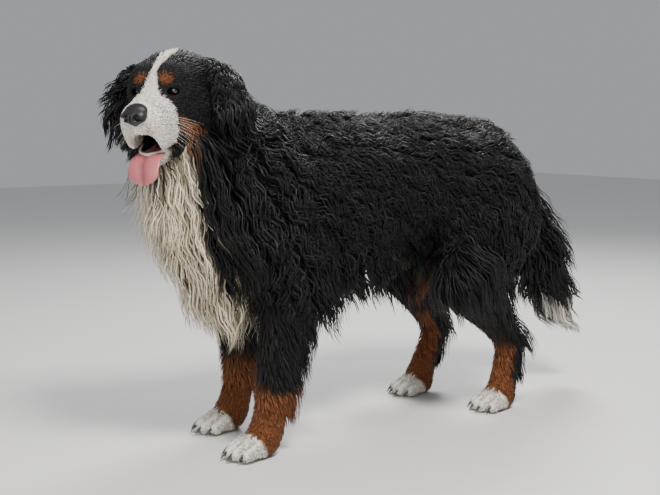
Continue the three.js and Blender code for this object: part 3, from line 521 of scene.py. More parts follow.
def body_marks(p):
    x, y, z = p.T
    edge = wobble(p, 34)
    fine = wobble(p, 13, 2.0)
    c = np.tile(BLACK, (len(p), 1))
    # Legs: rust from the wrist and hock down, and up their inner and front sides
    fore = ramp(-170, -200, y)
    hind = ramp(150, 185, y) * ramp(470, 430, z) * ramp(476, 450, y - 0.3 * (z - 250))
    side = np.sign(x)
    inner = ramp(118, 96, np.abs(x) + fine * 6)
    rear = rear_of_leg(p)
    fore_top = np.where(side > 0, 142, 168) + 26 * inner + 34 * ramp(8, 22, rear) * ramp(90, 105, z)
    c = lay(c, RUST, fore * ramp(fore_top + 14, fore_top - 14, z + edge * 12))
    front = ramp(2, -12, rear + fine * 6 + 16 * ramp(60, 90, z) - 10)
    shank = ramp(235, 205, z + edge * 10) * front * np.maximum(inner, ramp(190, 150, z))
    c = lay(c, RUST, hind * shank)
    thigh = hind * ramp(92, 80, np.abs(x) + fine * 8) * ramp(255, 285, z)
    c = lay(c, RUST, thigh * ramp(420, 390, z) * ramp(430, 400, y))
    # White toes
    fore_paw = np.where(side > 0, FORE_LEGS[1], FORE_LEGS[-1])
    hind_paw = np.where(side > 0, HIND_LEGS[1][2], HIND_LEGS[-1][2])
    behind_paw = np.maximum(y - np.where(y < 0, fore_paw, hind_paw) + 10, 0)
    c = lay(c, WHITE, ramp(60, 44, z + behind_paw * 1.6 + fine * 5))
    # Bib and throat
    half = np.interp(z, [250, 300, 380, 460, 540, 600, 680], [34, 56, 76, 80, 76, 72, 60])
    half = half + edge * 7 + fine * 5
    middle = np.interp(z, [420, 560, 640, 700], [0, 2, 8, 20])
    back_edge = np.interp(z, [250, 380, 480, 560, 620], [-300, -352, -384, -412, -440])
    q = to_head(p)
    under_jaw = ramp(62, 50, np.abs(q[:, 0] + 6)) * ramp(-12, -28, q[:, 1] + fine * 6)
    under_jaw = under_jaw * ramp(-86, -96, q[:, 2])
    bib = ramp(8, -8, np.abs(x - middle) - half) * ramp(10, -12, y - back_edge + fine * 8)
    c = lay(c, CREAM, np.maximum(bib * ramp(640, 610, z), under_jaw))
    jowl = ramp(34, 46, np.abs(q[:, 0])) * ramp(-92, -78, q[:, 1]) * ramp(-44, -58, q[:, 1] + fine * 8)
    jowl = jowl * ramp(-94, -82, q[:, 2]) * ramp(-30, -50, q[:, 2])
    c = lay(c, RUST, jowl)
    # Tail: a tan patch under its root, and its white tip
    tail = ramp(430, 470, y)
    patch = ramp(17, 9, np.hypot(y - 470, (z - 525) / 1.4) + fine * 5)
    c = lay(c, RUST * 0.7, tail * patch * ramp(8, 22, np.abs(x)))
    return lay(c, WHITE, tail * ramp(286, 276, z + fine * 5))


# Lie, length and height of the coat
def lie(p):
    x, y, z = p.T
    side = np.clip(np.degrees(np.arctan2(np.abs(x), z - 500)) / 140, 0, 1.1) / 2
    way = in_columns(0.0, 1.0, -0.12 - 1.7 * side)

    def turn(amount, *parts):
        nonlocal way
        way = way * (1 - amount[:, None]) + in_columns(*parts) * amount[:, None]

    turn(ramp(-215, -300, y), x * 0.0012, 1 - 1.4 * side, -0.5 - 1.4 * side)
    turn(ramp(-350, -400, y) * ramp(700, 640, z), x * 0.0035, 0.12, -1.0)
    belly = ramp(420, 380, z) * ramp(-210, -150, y) * ramp(180, 120, y)
    turn(belly, x * 0.002, 0.4, -1.0)
    legs = np.maximum(ramp(400, 350, z), ramp(200, 290, y) * ramp(560, 480, z))
    turn(legs * (1 - belly), x * 0.0006, 0.28, -1.0)
    spine_y = np.interp(z, TAIL_BONES[::-1, 2], TAIL_BONES[::-1, 1])
    turn(ramp(425, 475, y) * ramp(575, 520, z), x * 0.011, 0.44 + (y - spine_y) * 0.008, -1.0)
    return unit(way)


def coat_sizes(p):
    """Length, width, tip height above the skin, hang and wave of the coat's tufts at their roots."""
    x, y, z = p.T
    q = to_head(p)
    rear = rear_of_leg(p)
    start = {"length": 56.0, "width": 4.5, "height": 21.0, "hang": 0.1, "wave": 6.0}
    sizes = {name: np.full(len(p), value) for name, value in start.items()}

    def mix(amount, **values):
        for name, value in values.items():
            sizes[name] = sizes[name] + (value - sizes[name]) * amount

    # Neck, mane and throat
    mix(ramp(-240, -330, y), length=62, height=33, wave=7.4)
    mane = ramp(-330, -400, y) * ramp(585, 620, z)
    mix(mane, height=56)
    mix(mane * ramp(-20, -60, x), length=96, height=82, hang=0.35)
    throat = ramp(26, 40, np.abs(q[:, 0])) * ramp(-100, -85, q[:, 1]) * ramp(5, -20, q[:, 1])
    mix(throat * ramp(-130, -110, q[:, 2]), length=48, height=18, wave=2)
    chin = ramp(26, 10, np.abs(q[:, 0] - 4)) * ramp(-20, -45, q[:, 1])
    mix(chin * ramp(-96, -112, q[:, 2]) * ramp(-240, -200, q[:, 2]), length=105, height=62, hang=0.3)
    breast = ramp(-345, -400, y) * ramp(300, 340, z) * ramp(640, 600, z)
    mix(breast, length=118, height=50, hang=0.3, wave=5)
    ruff = ramp(-455, -500, y) * ramp(530, 570, z) * ramp(690, 660, z) * ramp(70, 40, x) * ramp(-96, -74, x)
    mix(ruff, length=125, height=88, hang=0.35)
    mix(ramp(680, 720, z) * ramp(-450, -410, y) * ramp(-250, -290, y), length=52, height=15)
    # Fringe under the belly and the breastbone, thighs and rump
    mix(ramp(440, 385, z) * ramp(-320, -230, y) * ramp(250, 170, y), length=135, height=80, hang=0.9)
    mix(ramp(430, 360, z) * ramp(-300, -350, y) * ramp(90, 60, np.abs(x)), length=135, height=80, hang=0.9)
    mix(ramp(170, 260, y) * ramp(560, 480, z), length=72, height=26)
    mix(ramp(370, 420, y), length=96, height=36, hang=0.35)
    # Legs, with a fringe behind them, and feet
    low = ramp(355, 300, z) * (1 - breast)
    mix(low, length=26, height=9, width=4.2, hang=0.05, wave=0.8)
    mix(low * ramp(150, 190, z) * ramp(-100, -150, y), length=46, height=17, wave=2.5)
    feather = low * ramp(4, 26, rear) * np.where(y < 0, ramp(92, 125, z), ramp(50, 90, z))
    behind = feather * np.where(y < 0, 0, ramp(230, 180, z))
    mix(feather, length=74, height=36 + 12 * behind, hang=0.5)
    mix(ramp(120, 70, z), length=13, height=4, width=3.2)
    # Tail
    tail = ramp(425, 475, y) * ramp(575, 520, z)
    tail_length = 130 - 30 * ramp(430, 330, z) + 85 * ramp(300, 276, z)
    mix(tail, length=tail_length, height=76, width=5.2)
    mix(tail * ramp(34, 20, np.hypot(y - 470, (z - 525) / 1.4)), length=40, height=24)
    mix(tail, hang=0.4, wave=5.5)
    return sizes.values()


def scatter(points, quads, count, favour):
    """Points spread evenly over quads, in proportion to area and to the favour shown to a place."""
    tris = np.concatenate([quads[:, [0, 1, 2]], quads[:, [0, 2, 3]]], axis=1).reshape(-1, 3)
    a, b, c = (points[tris[:, k]] for k in range(3))
    area = np.linalg.norm(np.cross(b - a, c - a), axis=1) / 2
    total = np.cumsum(area * favour((a + b + c) / 3))
    picks = np.searchsorted(total, (np.arange(count) + rng.random(count)) / count * total[-1])
    picks = np.minimum(picks, len(tris) - 1)
    u, v = rng.random((2, count))
    over = u + v > 1
    u, v = np.where(over, 1 - u, u), np.where(over, 1 - v, v)
    return a[picks] + (b - a)[picks] * u[:, None] + (c - a)[picks] * v[:, None]


def tuft_paths(roots, field, way_at, length, height, hang, rings):
    """Middle lines of tufts that follow the lie over the skin and lift to their tip height.

    The outward ways along them come with them."""
    p = roots.copy()
    n = field.outward(p)
    step = (length / rings)[:, None]
    paths, ways = [p - n * 3.0], [n]
    base = field.at(p)
    for k in range(1, rings + 1):
        s = k / rings
        d = way_at(p)
        hold = (hang * min(1, 0.45 + s))[:, None]
        d = unit(d - n * (np.sum(d * n, 1, keepdims=True)) * (1 - hold))
        p = p + d * step
        n = field.outward(p)
        lack = base + height * s**0.75 - field.at(p)
        follow = 1 - hang * s
        p = p + n * np.clip(lack * np.where(lack > 0, 1, follow), -9, 12)[:, None]
        paths.append(p)
        ways.append(n)
    return np.stack(paths, 1), np.stack(ways, 1)


def gather(paths, spacing, strength, lead_share):
    """Tips of neighbours lean together, so tufts make locks. Gives the paths and each tuft's lock number."""
    roots = paths[:, 1]
    leads = rng.permutation(len(roots))[: max(1, int(len(roots) * lead_share))]
    tree = KDTree(len(leads))
    for i, lead in enumerate(leads):
        tree.insert(roots[lead], i)
    tree.balance()
    lock = np.array([tree.find(r)[1] for r in roots])
    lead_paths = paths[leads[lock]]
    s = np.linspace(0, 1, paths.shape[1])[None, :, None]
    offset = lead_paths - paths
    near = np.clip(spacing / np.maximum(np.linalg.norm(offset[:, 1], axis=1), 1e-3), 0, 1)[:, None, None]
    return paths + offset * s**0.8 * strength * near, lock


def blades(paths, ways, widths, thickness, taper):
    """Closed three-sided blades along paths: points, triangles, and each point's place along and across."""
    count, rings = paths.shape[:2]
    tangent = unit(np.gradient(paths, axis=1))
    across = unit(np.cross(tangent, ways))
    out = unit(np.cross(across, tangent))
    size = np.interp(np.linspace(0, 1, rings), *taper)[None, :-1, None]
    half = widths[:, None, None] / 2 * size
    middle = paths[:, :-1]
    left, right = middle - across[:, :-1] * half, middle + across[:, :-1] * half
    top = middle + out[:, :-1] * half * thickness
    body = np.stack([left, right, top], 2).reshape(count, -1, 3)
    points = np.concatenate([body, paths[:, -1:]], 1)
    each = points.shape[1]
    tris = [(0, 1, 2)]
    for k in range(rings - 2):
        for a, b in ((0, 1), (1, 2), (2, 0)):
            p0, q0, p1, q1 = 3 * k + a, 3 * k + b, 3 * k + 3 + a, 3 * k + 3 + b
            tris += [(p0, p1, q1), (p0, q1, q0)]
    last = 3 * (rings - 2)
    tris += [(last + a, each - 1, last + b) for a, b in ((0, 1), (1, 2), (2, 0))]
    faces = (np.array(tris)[None] + (np.arange(count) * each)[:, None, None]).reshape(-1, 3)
    along = np.append(np.repeat(np.linspace(0, 1, rings)[:-1], 3), 1.0)
    side = np.append(np.tile([0.0, 1.0, 0.5], rings - 1), 0.5)
    return points, faces, along, side


BAKE_PATCH = 0.003
TAPER = ((0, 0.35, 0.8, 1), (0.75, 1, 0.6, 0.15))


def drawn_in(p):
    """Tips that stand far out of the solids' box are drawn in towards it, and none dips into the floor."""
    low, high = np.array(cad_low) / MM - SHIFT, np.array(cad_high) / MM - SHIFT + (0, 0, 15)
    p = p - 0.75 * (np.maximum(p - high, 0) - np.maximum(low - p, 0))
    return np.concatenate([p[..., :2], np.maximum(p[..., 2:], 0.4)], -1)


class Tufts:
    """Roots of tufts, with their middle lines, the outward ways along them, their widths and colours."""

    def __init__(self, roots, paths, ways, widths, colours=None):
        self.roots, self.paths, self.ways, self.widths, self.colours = roots, paths, ways, widths, colours

    def piece(self, name, unwrap, material, node, mask=slice(None), slot="coat", thickness=0.4, taper=TAPER):
        """One mesh of the tufts that a mask picks. Each bakes into a small patch at its root's place."""
        picked = (values[mask] for values in (self.paths, self.ways, self.widths))
        points, faces, along, side = blades(*picked, thickness, taper)
        count, each = points.shape[:2]
        obj = mesh_object(name, drawn_in(points).reshape(-1, 3), faces)
        paint(obj, "Coat", np.repeat(self.colours[mask], each, axis=0))
        corners = faces.ravel()
        nudge = np.where(side == 0.5, 0.25, 0.0)
        patch = np.stack([side - 0.5, along * 0.7 + nudge - 0.5], 1)[None] * BAKE_PATCH
        chance = rng.random((count, 2)) * 40
        strand = np.stack([side * 0.6, along], 1)[None] + np.floor(chance)[:, None]
        for layer, places in (("OFBake", unwrap[mask][:, None] + patch), ("Strand", strand)):
            uv = obj.data.uv_layers.new(name=layer)
            uv.data.foreach_set("uv", places.reshape(-1, 2)[corners].astype(np.float32).ravel())
        return own(obj, material, slot, node)

    def turn_with_head(self):
        self.paths, self.ways = from_head(self.paths), self.ways @ HEAD_TURN.T


# Materials
class Surface:
    """A material with its shader, and short ways to add and link nodes."""

    def __init__(self, name, roughness, **values):
        self.material = bpy.data.materials.new(name)
        self.material.use_nodes = True
        self.tree = self.material.node_tree
        self.shader = self.tree.nodes["Principled BSDF"]
        self.fill(self.shader, Roughness=roughness, **values)

    def fill(self, node, **values):
        for key, value in values.items():
            name = key.replace("_", " ")
            if name in node.inputs:
                node.inputs[name].default_value = value
            else:
                setattr(node, key, value)
        return node

    def add(self, kind, **values):
        return self.fill(self.tree.nodes.new("ShaderNode" + kind), **values)

    def link(self, source, output, target, entry):
        self.tree.links.new(source.outputs[output], target.inputs[entry])

    def bump(self, texture, output, strength, distance):
        bump = self.add("Bump", Strength=strength, Distance=distance)
        self.link(texture, output, bump, "Height")
        self.link(bump, "Normal", self.shader, "Normal")

    def textured(self, place, output, kind, **values):
        texture = self.add(kind, **values)
        self.link(place, output, texture, "Vector")
        return texture

    def tint(self, colour, texture, output, dark, light):
        """The colour, made darker and lighter by a texture."""
        spread = self.add("MapRange", To_Min=dark, To_Max=light)
        self.link(texture, output, spread, "Value")
        scale = self.add("VectorMath", operation="SCALE")
        self.link(colour, "Color", scale, 0)
        self.link(spread, "Result", scale, "Scale")
        self.link(scale, "Vector", self.shader, "Base Color")

    def two_tones(self, texture, dark, light):
        shade = self.add("ValToRGB")
        for element, tone in zip(shade.color_ramp.elements, (dark, light)):
            element.color = (*tone, 1)
        self.link(texture, "Fac", shade, "Fac")
        self.link(shade, "Color", self.shader, "Base Color")


def coat_material(name, roughness, relief):
    hair = Surface(name, roughness, Sheen_Weight=0.01, Sheen_Roughness=0.4, Specular_IOR_Level=0.26)
    colour = hair.add("VertexColor", layer_name="Coat")
    strand = hair.add("UVMap", uv_map="Strand")
    stretch = hair.textured(strand, "UV", "Mapping", Scale=(20.0, 1.3, 1.0))
    streaks = hair.textured(stretch, "Vector", "TexNoise", Scale=1.0, Detail=3.0)
    hair.bump(streaks, "Fac", relief, 0.0012)
    hair.tint(colour, streaks, "Fac", 0.6, 1.4)
    return hair.material


coat_long = coat_material("long_coat", 0.4, 0.8)
coat_short = coat_material("short_coat", 0.55, 0.35)


def skin_material():
    flesh = Surface("skin_and_lips", 0.6, Specular_IOR_Level=0.2)
    colour = flesh.add("VertexColor", layer_name="Coat")
    place = flesh.add("TexCoord")
    stretch = flesh.textured(place, "Object", "Mapping", Scale=(1.0, 1.0, 0.3))
    grain = flesh.textured(stretch, "Vector", "TexNoise", Scale=420.0, Detail=3.0)
    flesh.bump(grain, "Fac", 0.6, 0.0015)
    flesh.tint(colour, grain, "Fac", 0.6, 1.3)
    wet = flesh.add("MapRange", To_Min=0.3, To_Max=0.72)
    flesh.link(colour, "Alpha", wet, "Value")
    flesh.link(wet, "Result", flesh.shader, "Roughness")
    return flesh.material


# Skin: one mesh of the body, feet, head, jaw and ears
def bare_of_head(q):
    """Where lips, mouth and lids have no hair: from 0 to 1."""
    inside = ramp(3.0, 0.5, mouth_field.at(q)) * ramp(-20, -35, q[:, 1])
    for eye in EYES:
        lid = ramp(16.5, 13.5, np.linalg.norm((q - eye) * (0.85, 1, 1.15), axis=1))
        inside = np.maximum(inside, lid * ramp(-60, -66, q[:, 1]))
    return inside


def skin_colours(points, kind):
    q = to_head(points)
    if kind == "body":
        return np.concatenate([body_marks(points), np.ones((len(points), 1))], 1)
    c = head_marks(q)
    if kind == "jaw":
        c = lay(np.tile(WHITE, (len(q), 1)), BLACK, ramp(-112, -98, q[:, 1]) * ramp(-118, -106, q[:, 2]))
        # The floor of the mouth in the lower jaw: its own pink, darkened to about a third as painted shade.
        shaded_hollow = ramp(2, -4, jaw_inner(q))
        c = lay(c, PINK * 0.35, shaded_hollow)
        lip = ramp(9, 4, np.abs(jaw_inner(q) - 3)) * (1 - shaded_hollow)
        c = lay(c, BLACK * 1.6, lip)
        return np.concatenate([c, (1 - np.maximum(shaded_hollow, lip))[:, None]], 1)
    if kind == "ear":
        return np.concatenate([np.tile(BLACK * 1.2, (len(q), 1)), np.ones((len(q), 1))], 1)
    bare = bare_of_head(q)
    c = lay(c, BLACK * 1.3, bare)
    # Deeper in the mouth its pink is darkened further: painted shade over the mouth's own pink.
    painted_shade = ramp(-1, -6, mouth_field.at(q)) * ramp(-40, -60, q[:, 1])
    c = lay(c, PINK * 0.3, painted_shade * 0.8)
    corner = ramp(15, 8, np.linalg.norm((np.abs(q) * (1, 0, 0) + q * (0, 1, 1)) - (36, -58, -68), axis=1))
    c = lay(c, PINK * 0.8, corner * (0.6 + 0.4 * wobble(q, 3)))
    return np.concatenate([c, 1 - np.maximum(bare, corner)[:, None]], 1)


def jaw_inner(q):
    a, b = jaw_point((0, -40, -56)), jaw_point((0, -122, -58))
    return Bar(a, b, (22, 12), (14, 9), 10).distance(*q.T)


shells = [(body_shell, "body"), (paw_shell, "body"), (head_shell, "head"), (jaw_shell, "jaw")]
shells += [(ear_shells[s], "ear") for s in (1, -1)]
skin_points, skin_faces, skin_paint, start = [], [], [], 0
for (points, quads), kind in shells:
    points = points if kind == "body" else from_head(points)
    skin_points.append(points)
    skin_faces.append(quads + start)
    skin_paint.append(skin_colours(points, kind))
    start += len(points)
standing = np.concatenate(skin_points)
standing[:, 2] = np.maximum(standing[:, 2], 0)
skin = mesh_object("skin", standing, np.concatenate(skin_faces))
paint(skin, "Coat", np.concatenate(skin_paint))
PAIRED = ("ear", "foreleg", "hindleg", "forepaw", "hindpaw")
pairs = [f"{part}_{word}" for part in PAIRED for word in ("left", "right")]
own(skin, skin_material(), "coat", "head", "lower_jaw", "neck", "torso", "tail", *pairs)


# Coat of the body
def page(along, angle):
    """A place on an unwrap: a share of the length one way, and the angle round it the other."""
    return np.stack([0.02 + 0.96 * along, 0.02 + 0.96 * (0.5 + angle / (2 * math.pi))], 1)


def body_unwrap(p):
    x, y, z = p.T
    return page((y + 620) / 1360, np.arctan2(x, z - 480))


def leg_unwrap(p, x0, y0):
    x, y, z = p.T
    return page(np.clip(z / 480, 0, 1), np.arctan2(x - x0, y - y0))


def hair_tones(colours, share=0.35):
    """Each tuft a little darker or lighter than its neighbours, and a few of the black ones brown or grey."""
    count = len(colours)
    tones = colours * (1 + share * (rng.random((count, 1)) * 2 - 1))
    dark = colours.mean(1) < 0.03
    pale = dark & (rng.random(count) < 0.1)
    tones[pale] = tones[pale] * 2.2 + 0.004
    return tones


BODY_CLUMPS = {"spacing": 26, "strength": 0.55, "lead_share": 0.035}
SHORT_CLUMPS = {"spacing": 6, "strength": 0.3, "lead_share": 0.2}
FACE_CLUMPS = {"spacing": 5, "strength": 0.3, "lead_share": 0.12}
EAR_CLUMPS = {"spacing": 16, "strength": 0.6, "lead_share": 0.05}


def grow(points, quads, count, field, way_at, sizes_at, rings, keep, clumps, favour=lambda p: 1.0):
    """Tufts from a count of roots spread over a surface, less those that keep leaves out."""
    roots = scatter(points, quads, count, favour)
    roots = roots[keep(roots)]
    length, width, height, hang, wave = (np.broadcast_to(size, len(roots)) for size in sizes_at(roots))
    vary = rng.random((5, len(roots)))
    length, width = length * (0.75 + 0.5 * vary[0]), width * (0.75 + 0.5 * vary[1])
    height = height * (0.25 + 0.85 * vary[2] ** 0.8)
    sway = 0.16 * (vary[3:5].T @ np.array([[1, 0, 0.2], [0, 0.6, 1]]) - (0.5, 0.3, 0.6))
    paths, ways = tuft_paths(roots, field, lambda p: way_at(p) + sway, length, height, hang, rings)
    paths, lock = gather(paths, **clumps)
    phase = rng.random(lock.max() + 1)[lock] * 2 * math.pi + 0.5 * (vary[0] - 0.5)
    s = np.linspace(0, 1, rings + 1)[None]
    turn = 2 * math.pi * s * np.minimum(length / 32, rings / 5)[:, None] + phase[:, None]
    tangent = unit(np.gradient(paths, axis=1))
    across = np.cross(tangent, ways)
    swing = (wave[:, None] * ramp(0, 0.45, s))[..., None]
    paths = paths + across * np.sin(turn)[..., None] * swing + ways * np.cos(turn)[..., None] * swing * 0.55
    return Tufts(roots, paths, ways, width)


def outside_head(p):
    q = to_head(p)
    box = (np.abs(q[:, 0]) < 100) & (q[:, 1] > -186) & (q[:, 1] < 100) & (q[:, 2] > -150) & (q[:, 2] < 95)
    return ~(box & (head_field.at(q) < -1))


def long_haired(p):
    return outside_head(p) & ((p[:, 2] > 300) | (p[:, 1] > 430) | (rear_of_leg(p) > 2))


def tail_favour(p):
    return 1 + ramp(425, 475, p[:, 1]) * (0.9 * ramp(500, 300, p[:, 2]) + 4 * ramp(300, 270, p[:, 2]))


LONG, SHORT, FEET, FACE, JAW, EAR = 18500, 60000, 9000, 33000, 7000, 2000
SIDES = (("left", 1), ("right", -1))
tufts = grow(*body_shell, LONG, body_field, lie, coat_sizes, 9, long_haired, BODY_CLUMPS, tail_favour)
tufts.colours = hair_tones(body_marks(tufts.roots))
x, y, z = tufts.roots.T
on_tail = (y > 440) & (z < 545)
on_leg = (z < 400) & (np.abs(x) > 50) & ~on_tail & ((y > 150) | (y < -170))
on_neck = (y < -300) & ~on_leg
on_rump = (y > 120) & ~on_leg & ~on_tail
on_trunk = ~(on_tail | on_leg | on_neck | on_rump)
unwrap = body_unwrap(tufts.roots)
body_parts = (("neck", on_neck, "neck"), ("trunk", on_trunk, "torso"), ("rump", on_rump, "torso"))
for part, on_part, node in body_parts:
    for word, s in SIDES:
        half = (x > 0) == (s > 0)
        tufts.piece(f"coat_{part}_{word}", unwrap, coat_long, node, on_part & half, thickness=0.42)
tufts.piece("coat_tail", unwrap, coat_long, "tail", on_tail, thickness=0.42)
for word, s in SIDES:
    for leg, way, y0 in (("foreleg", -1, -290), ("hindleg", 1, 270)):
        mask = on_leg & ((x > 0) == (s > 0)) & (y * way > 0)
        unwrap = leg_unwrap(tufts.roots, s * 110, y0)
        tufts.piece(f"coat_{leg}_{word}", unwrap, coat_long, f"{leg}_{word}", mask, thickness=0.42)


# Short coat of the lower legs and feet
def on_shank(p):
    return (p[:, 2] < 340) & (p[:, 1] < 430) & (rear_of_leg(p) < 22) & (np.abs(p[:, 0]) > 40)


def above_sole(p):
    return p[:, 2] > 9


for label, source, field, count, rings, keep, part, slot in (
    ("shank", body_shell, body_field, SHORT, 3, on_shank, "leg", "coat"),
    ("foot", paw_shell, paw_field, FEET, 2, above_sole, "paw", "paw_fur"),
):
    tufts = grow(*source, count, field, lie, coat_sizes, rings, keep, SHORT_CLUMPS)
    tufts.colours = hair_tones(body_marks(tufts.roots), 0.25)
    for word, s in SIDES:
        for end, way, x0, y0 in (("fore", -1, FORE_X, -300), ("hind", 1, HIND_X, 250)):
            mask = (tufts.roots[:, 0] * s > 0) & (tufts.roots[:, 1] * way > 0)
            unwrap = leg_unwrap(tufts.roots, s * x0, y0)
            tufts.piece(f"coat_{label}_{end}_{word}", unwrap, coat_short, f"{end}{part}_{word}", mask, slot)


# Coat of the head, jaw and ears, worked out in the head's frame
def face_lie(q):
    x, y, z = q.T
    side = np.abs(x) / 80
    cheek = ramp(-60, -20, y) * ramp(10, -20, z)
    jowl = ramp(-84, -60, y) * ramp(-40, -64, z)
    return unit(in_columns(x * 0.002, 1 - 0.7 * jowl, -0.15 - 0.5 * side - 0.9 * cheek - 1.6 * jowl))


def face_sizes(q):
    y, z = q[:, 1], q[:, 2]
    muzzle = ramp(-70, -95, y)
    jowl = ramp(-84, -62, y) * ramp(-44, -62, z)
    cheek = np.maximum(ramp(-50, -5, y) * ramp(10, -35, z), 0.75 * jowl)
    top = ramp(10, 50, z) * ramp(-60, -20, y)
    length = 12 - 4 * muzzle + 26 * cheek + 12 * top
    width = 2.3 + 1.8 * cheek + 0.8 * top
    height = 2.2 - 0.8 * muzzle + 20 * cheek + 12 * top
    return length, width, height, 0.4 * cheek + 0.5 * jowl, cheek + 0.6 * top


def out_of_body(q):
    return body_field.at(from_head(q)) > -16


def face_keep(q):
    return (bare_of_head(q) < 0.35) & out_of_body(q) & (nose_field.at(q) >= 0.5)


def cheek_favour(q):
    return 1 + 0.8 * ramp(-84, -60, q[:, 1]) * ramp(-20, -44, q[:, 2])


tufts = grow(*head_shell, FACE, head_field, face_lie, face_sizes, 2, face_keep, FACE_CLUMPS, cheek_favour)
x, y, z = tufts.roots.T
tufts.colours = hair_tones(head_marks(tufts.roots), 0.22)
freckled = 0.14 * ramp(-118, -140, y) * ramp(-66, -40, z)
freckle = (rng.random(len(x)) < freckled) & (tufts.colours.mean(1) > 0.3)
tufts.colours[freckle] *= 0.4
tufts.turn_with_head()
unwrap = page((y + 190) / 340, np.arctan2(x, z + 20))
for word, s in SIDES:
    tufts.piece(f"coat_head_{word}", unwrap, coat_short, "head", (x > 0) == (s > 0))


def beard_lie(q):
    return unit(in_columns(q[:, 0] * 0.004, 0.35, -1.0))


def beard_keep(q):
    return (jaw_inner(q) > 12) & out_of_body(q)


BEARD_SIZES = (13, 2.4, 4, 0.5, 0.3)
tufts = grow(*jaw_shell, JAW, jaw_field, beard_lie, lambda q: BEARD_SIZES, 2, beard_keep, FACE_CLUMPS)
x, y, z = tufts.roots.T
tufts.turn_with_head()
tufts.colours = hair_tones(skin_colours(from_head(tufts.roots), "jaw")[:, :3] * 0.92, 0.2)
tufts.piece("coat_jaw", page((y + 180) / 220, np.arctan2(x, z + 110)), coat_short, "lower_jaw")

# The hair of the far ear stands out further than that of the near one.
EAR_LIFT = {1: (38, 50, -30), -1: (52, 60, 0)}
for word, s in SIDES:
    lift, lift_from, lift_to = EAR_LIFT[s]

    def ear_lie(q):
        out = s * (0.1 + 0.25 * ramp(20, -60, q[:, 2]))
        return unit(in_columns(out, 0.05 + 0.004 * (q[:, 1] - 15), -1.0))

    def ear_sizes(q):
        height = 10 + lift * ramp(lift_from, lift_to, q[:, 2])
        return 34 + 60 * ramp(50, -30, q[:, 2]), 4.6, height, 0.3, 6.0

    def ear_keep(q):
        return head_field.at(q) > -3

    tufts = grow(*ear_shells[s], EAR, ear_fields[s], ear_lie, ear_sizes, 8, ear_keep, EAR_CLUMPS)
    x, y, z = tufts.roots.T
    tufts.turn_with_head()
    tufts.colours = hair_tones(np.tile(BLACK, (len(x), 1)))
    unwrap = page((z + 120) / 220, np.arctan2(y - 15, s * (x - s * 100)))
    tufts.piece(f"coat_ear_{word}", unwrap, coat_long, f"ear_{word}")

# Whiskers, in three rows on each side of the muzzle
WHISKERS, WHISKER_LENGTH = 26, 62
side = np.where(np.arange(WHISKERS) % 2 == 0, 1.0, -1.0)
row = (np.arange(WHISKERS) // 2 % 3) - 1.0
column = np.arange(WHISKERS) // 6
base = np.stack([side * (38 - column * 1.5), -96 - column * 9.0, -44 + row * 8 - column], 1)
reach = np.stack([side * 1.0, 0.25 + 0.2 * rng.random(WHISKERS), -0.35 + 0.25 * row], 1)
t = np.linspace(0, 1, 6)[None, :, None]
lines = base[:, None] + unit(reach)[:, None] * t * WHISKER_LENGTH + np.array([0, 6, -16.0]) * t**2
ways = np.tile(np.array([0, 0, 1.0]), (WHISKERS, 6, 1))
tufts = Tufts(base, lines, ways, np.full(WHISKERS, 0.9), np.tile(WHITE, (WHISKERS, 1)))
tufts.turn_with_head()
unwrap = 0.5 + base[:, 1:] * 0.001
tufts.piece("whiskers", unwrap, coat_short, "head", thickness=0.8, taper=((0, 1), (1, 0.3)))


# Nose leather
def leather_material():
    leather = Surface("nose_leather", 0.48, Coat_Weight=0.08, Coat_Roughness=0.3)
    place = leather.add("TexCoord")
    cells = leather.textured(place, "Object", "TexVoronoi", Scale=520.0, feature="DISTANCE_TO_EDGE")
    leather.bump(cells, "Distance", 0.5, 0.0006)
    mottle = leather.textured(place, "Object", "TexNoise", Scale=90.0)
    leather.two_tones(mottle, (0.004, 0.004, 0.0045), (0.014, 0.013, 0.014))
    return leather.material


points, quads = shell(nose_field, 0.0)
own(mesh_object("nose_leather", from_head(points), quads), leather_material(), "leather_nose", "nose")


# Tongue
def tongue_material():
    moist = Surface("tongue", 0.36, Subsurface_Weight=0.25, Coat_Weight=0.3, Coat_Roughness=0.2)
    moist.fill(moist.shader, Subsurface_Radius=(0.006, 0.002, 0.001), Subsurface_Scale=1.0)
    place = moist.add("TexCoord")
    colour = moist.add("VertexColor", layer_name="Coat")
    buds = moist.textured(place, "Object", "TexVoronoi", Scale=900.0)
    moist.bump(buds, "Distance", 0.45, 0.0005)
    moist.tint(colour, buds, "Distance", 0.9, 1.12)
    return moist.material


TONGUE_PATH = [(0, -38, -88), (0, -92, -100), (2, -128, -104)]
TONGUE_PATH += [(5, -152, -114), (7, -163, -132), (8, -166, -152)]
TONGUE_HALVES, TONGUE_THICK = (20, 26, 31, 33, 31), (7, 6, 5, 4.5, 4)
TONGUE_STEPS, TONGUE_RING = 60, 40


def curve_through(points, count):
    """A smooth curve through points, as Catmull and Rom's."""
    padded = np.concatenate([[2 * points[0] - points[1]], points, [2 * points[-1] - points[-2]]])
    t = np.linspace(0, len(points) - 1 - 1e-6, count)
    i = t.astype(int)
    f = (t - i)[:, None]
    p0, p1, p2, p3 = (padded[i + k] for k in range(4))
    squared, cubed = 2 * p0 - 5 * p1 + 4 * p2 - p3, 3 * p1 - p0 - 3 * p2 + p3
    return 0.5 * (2 * p1 + (p2 - p0) * f + squared * f**2 + cubed * f**3)


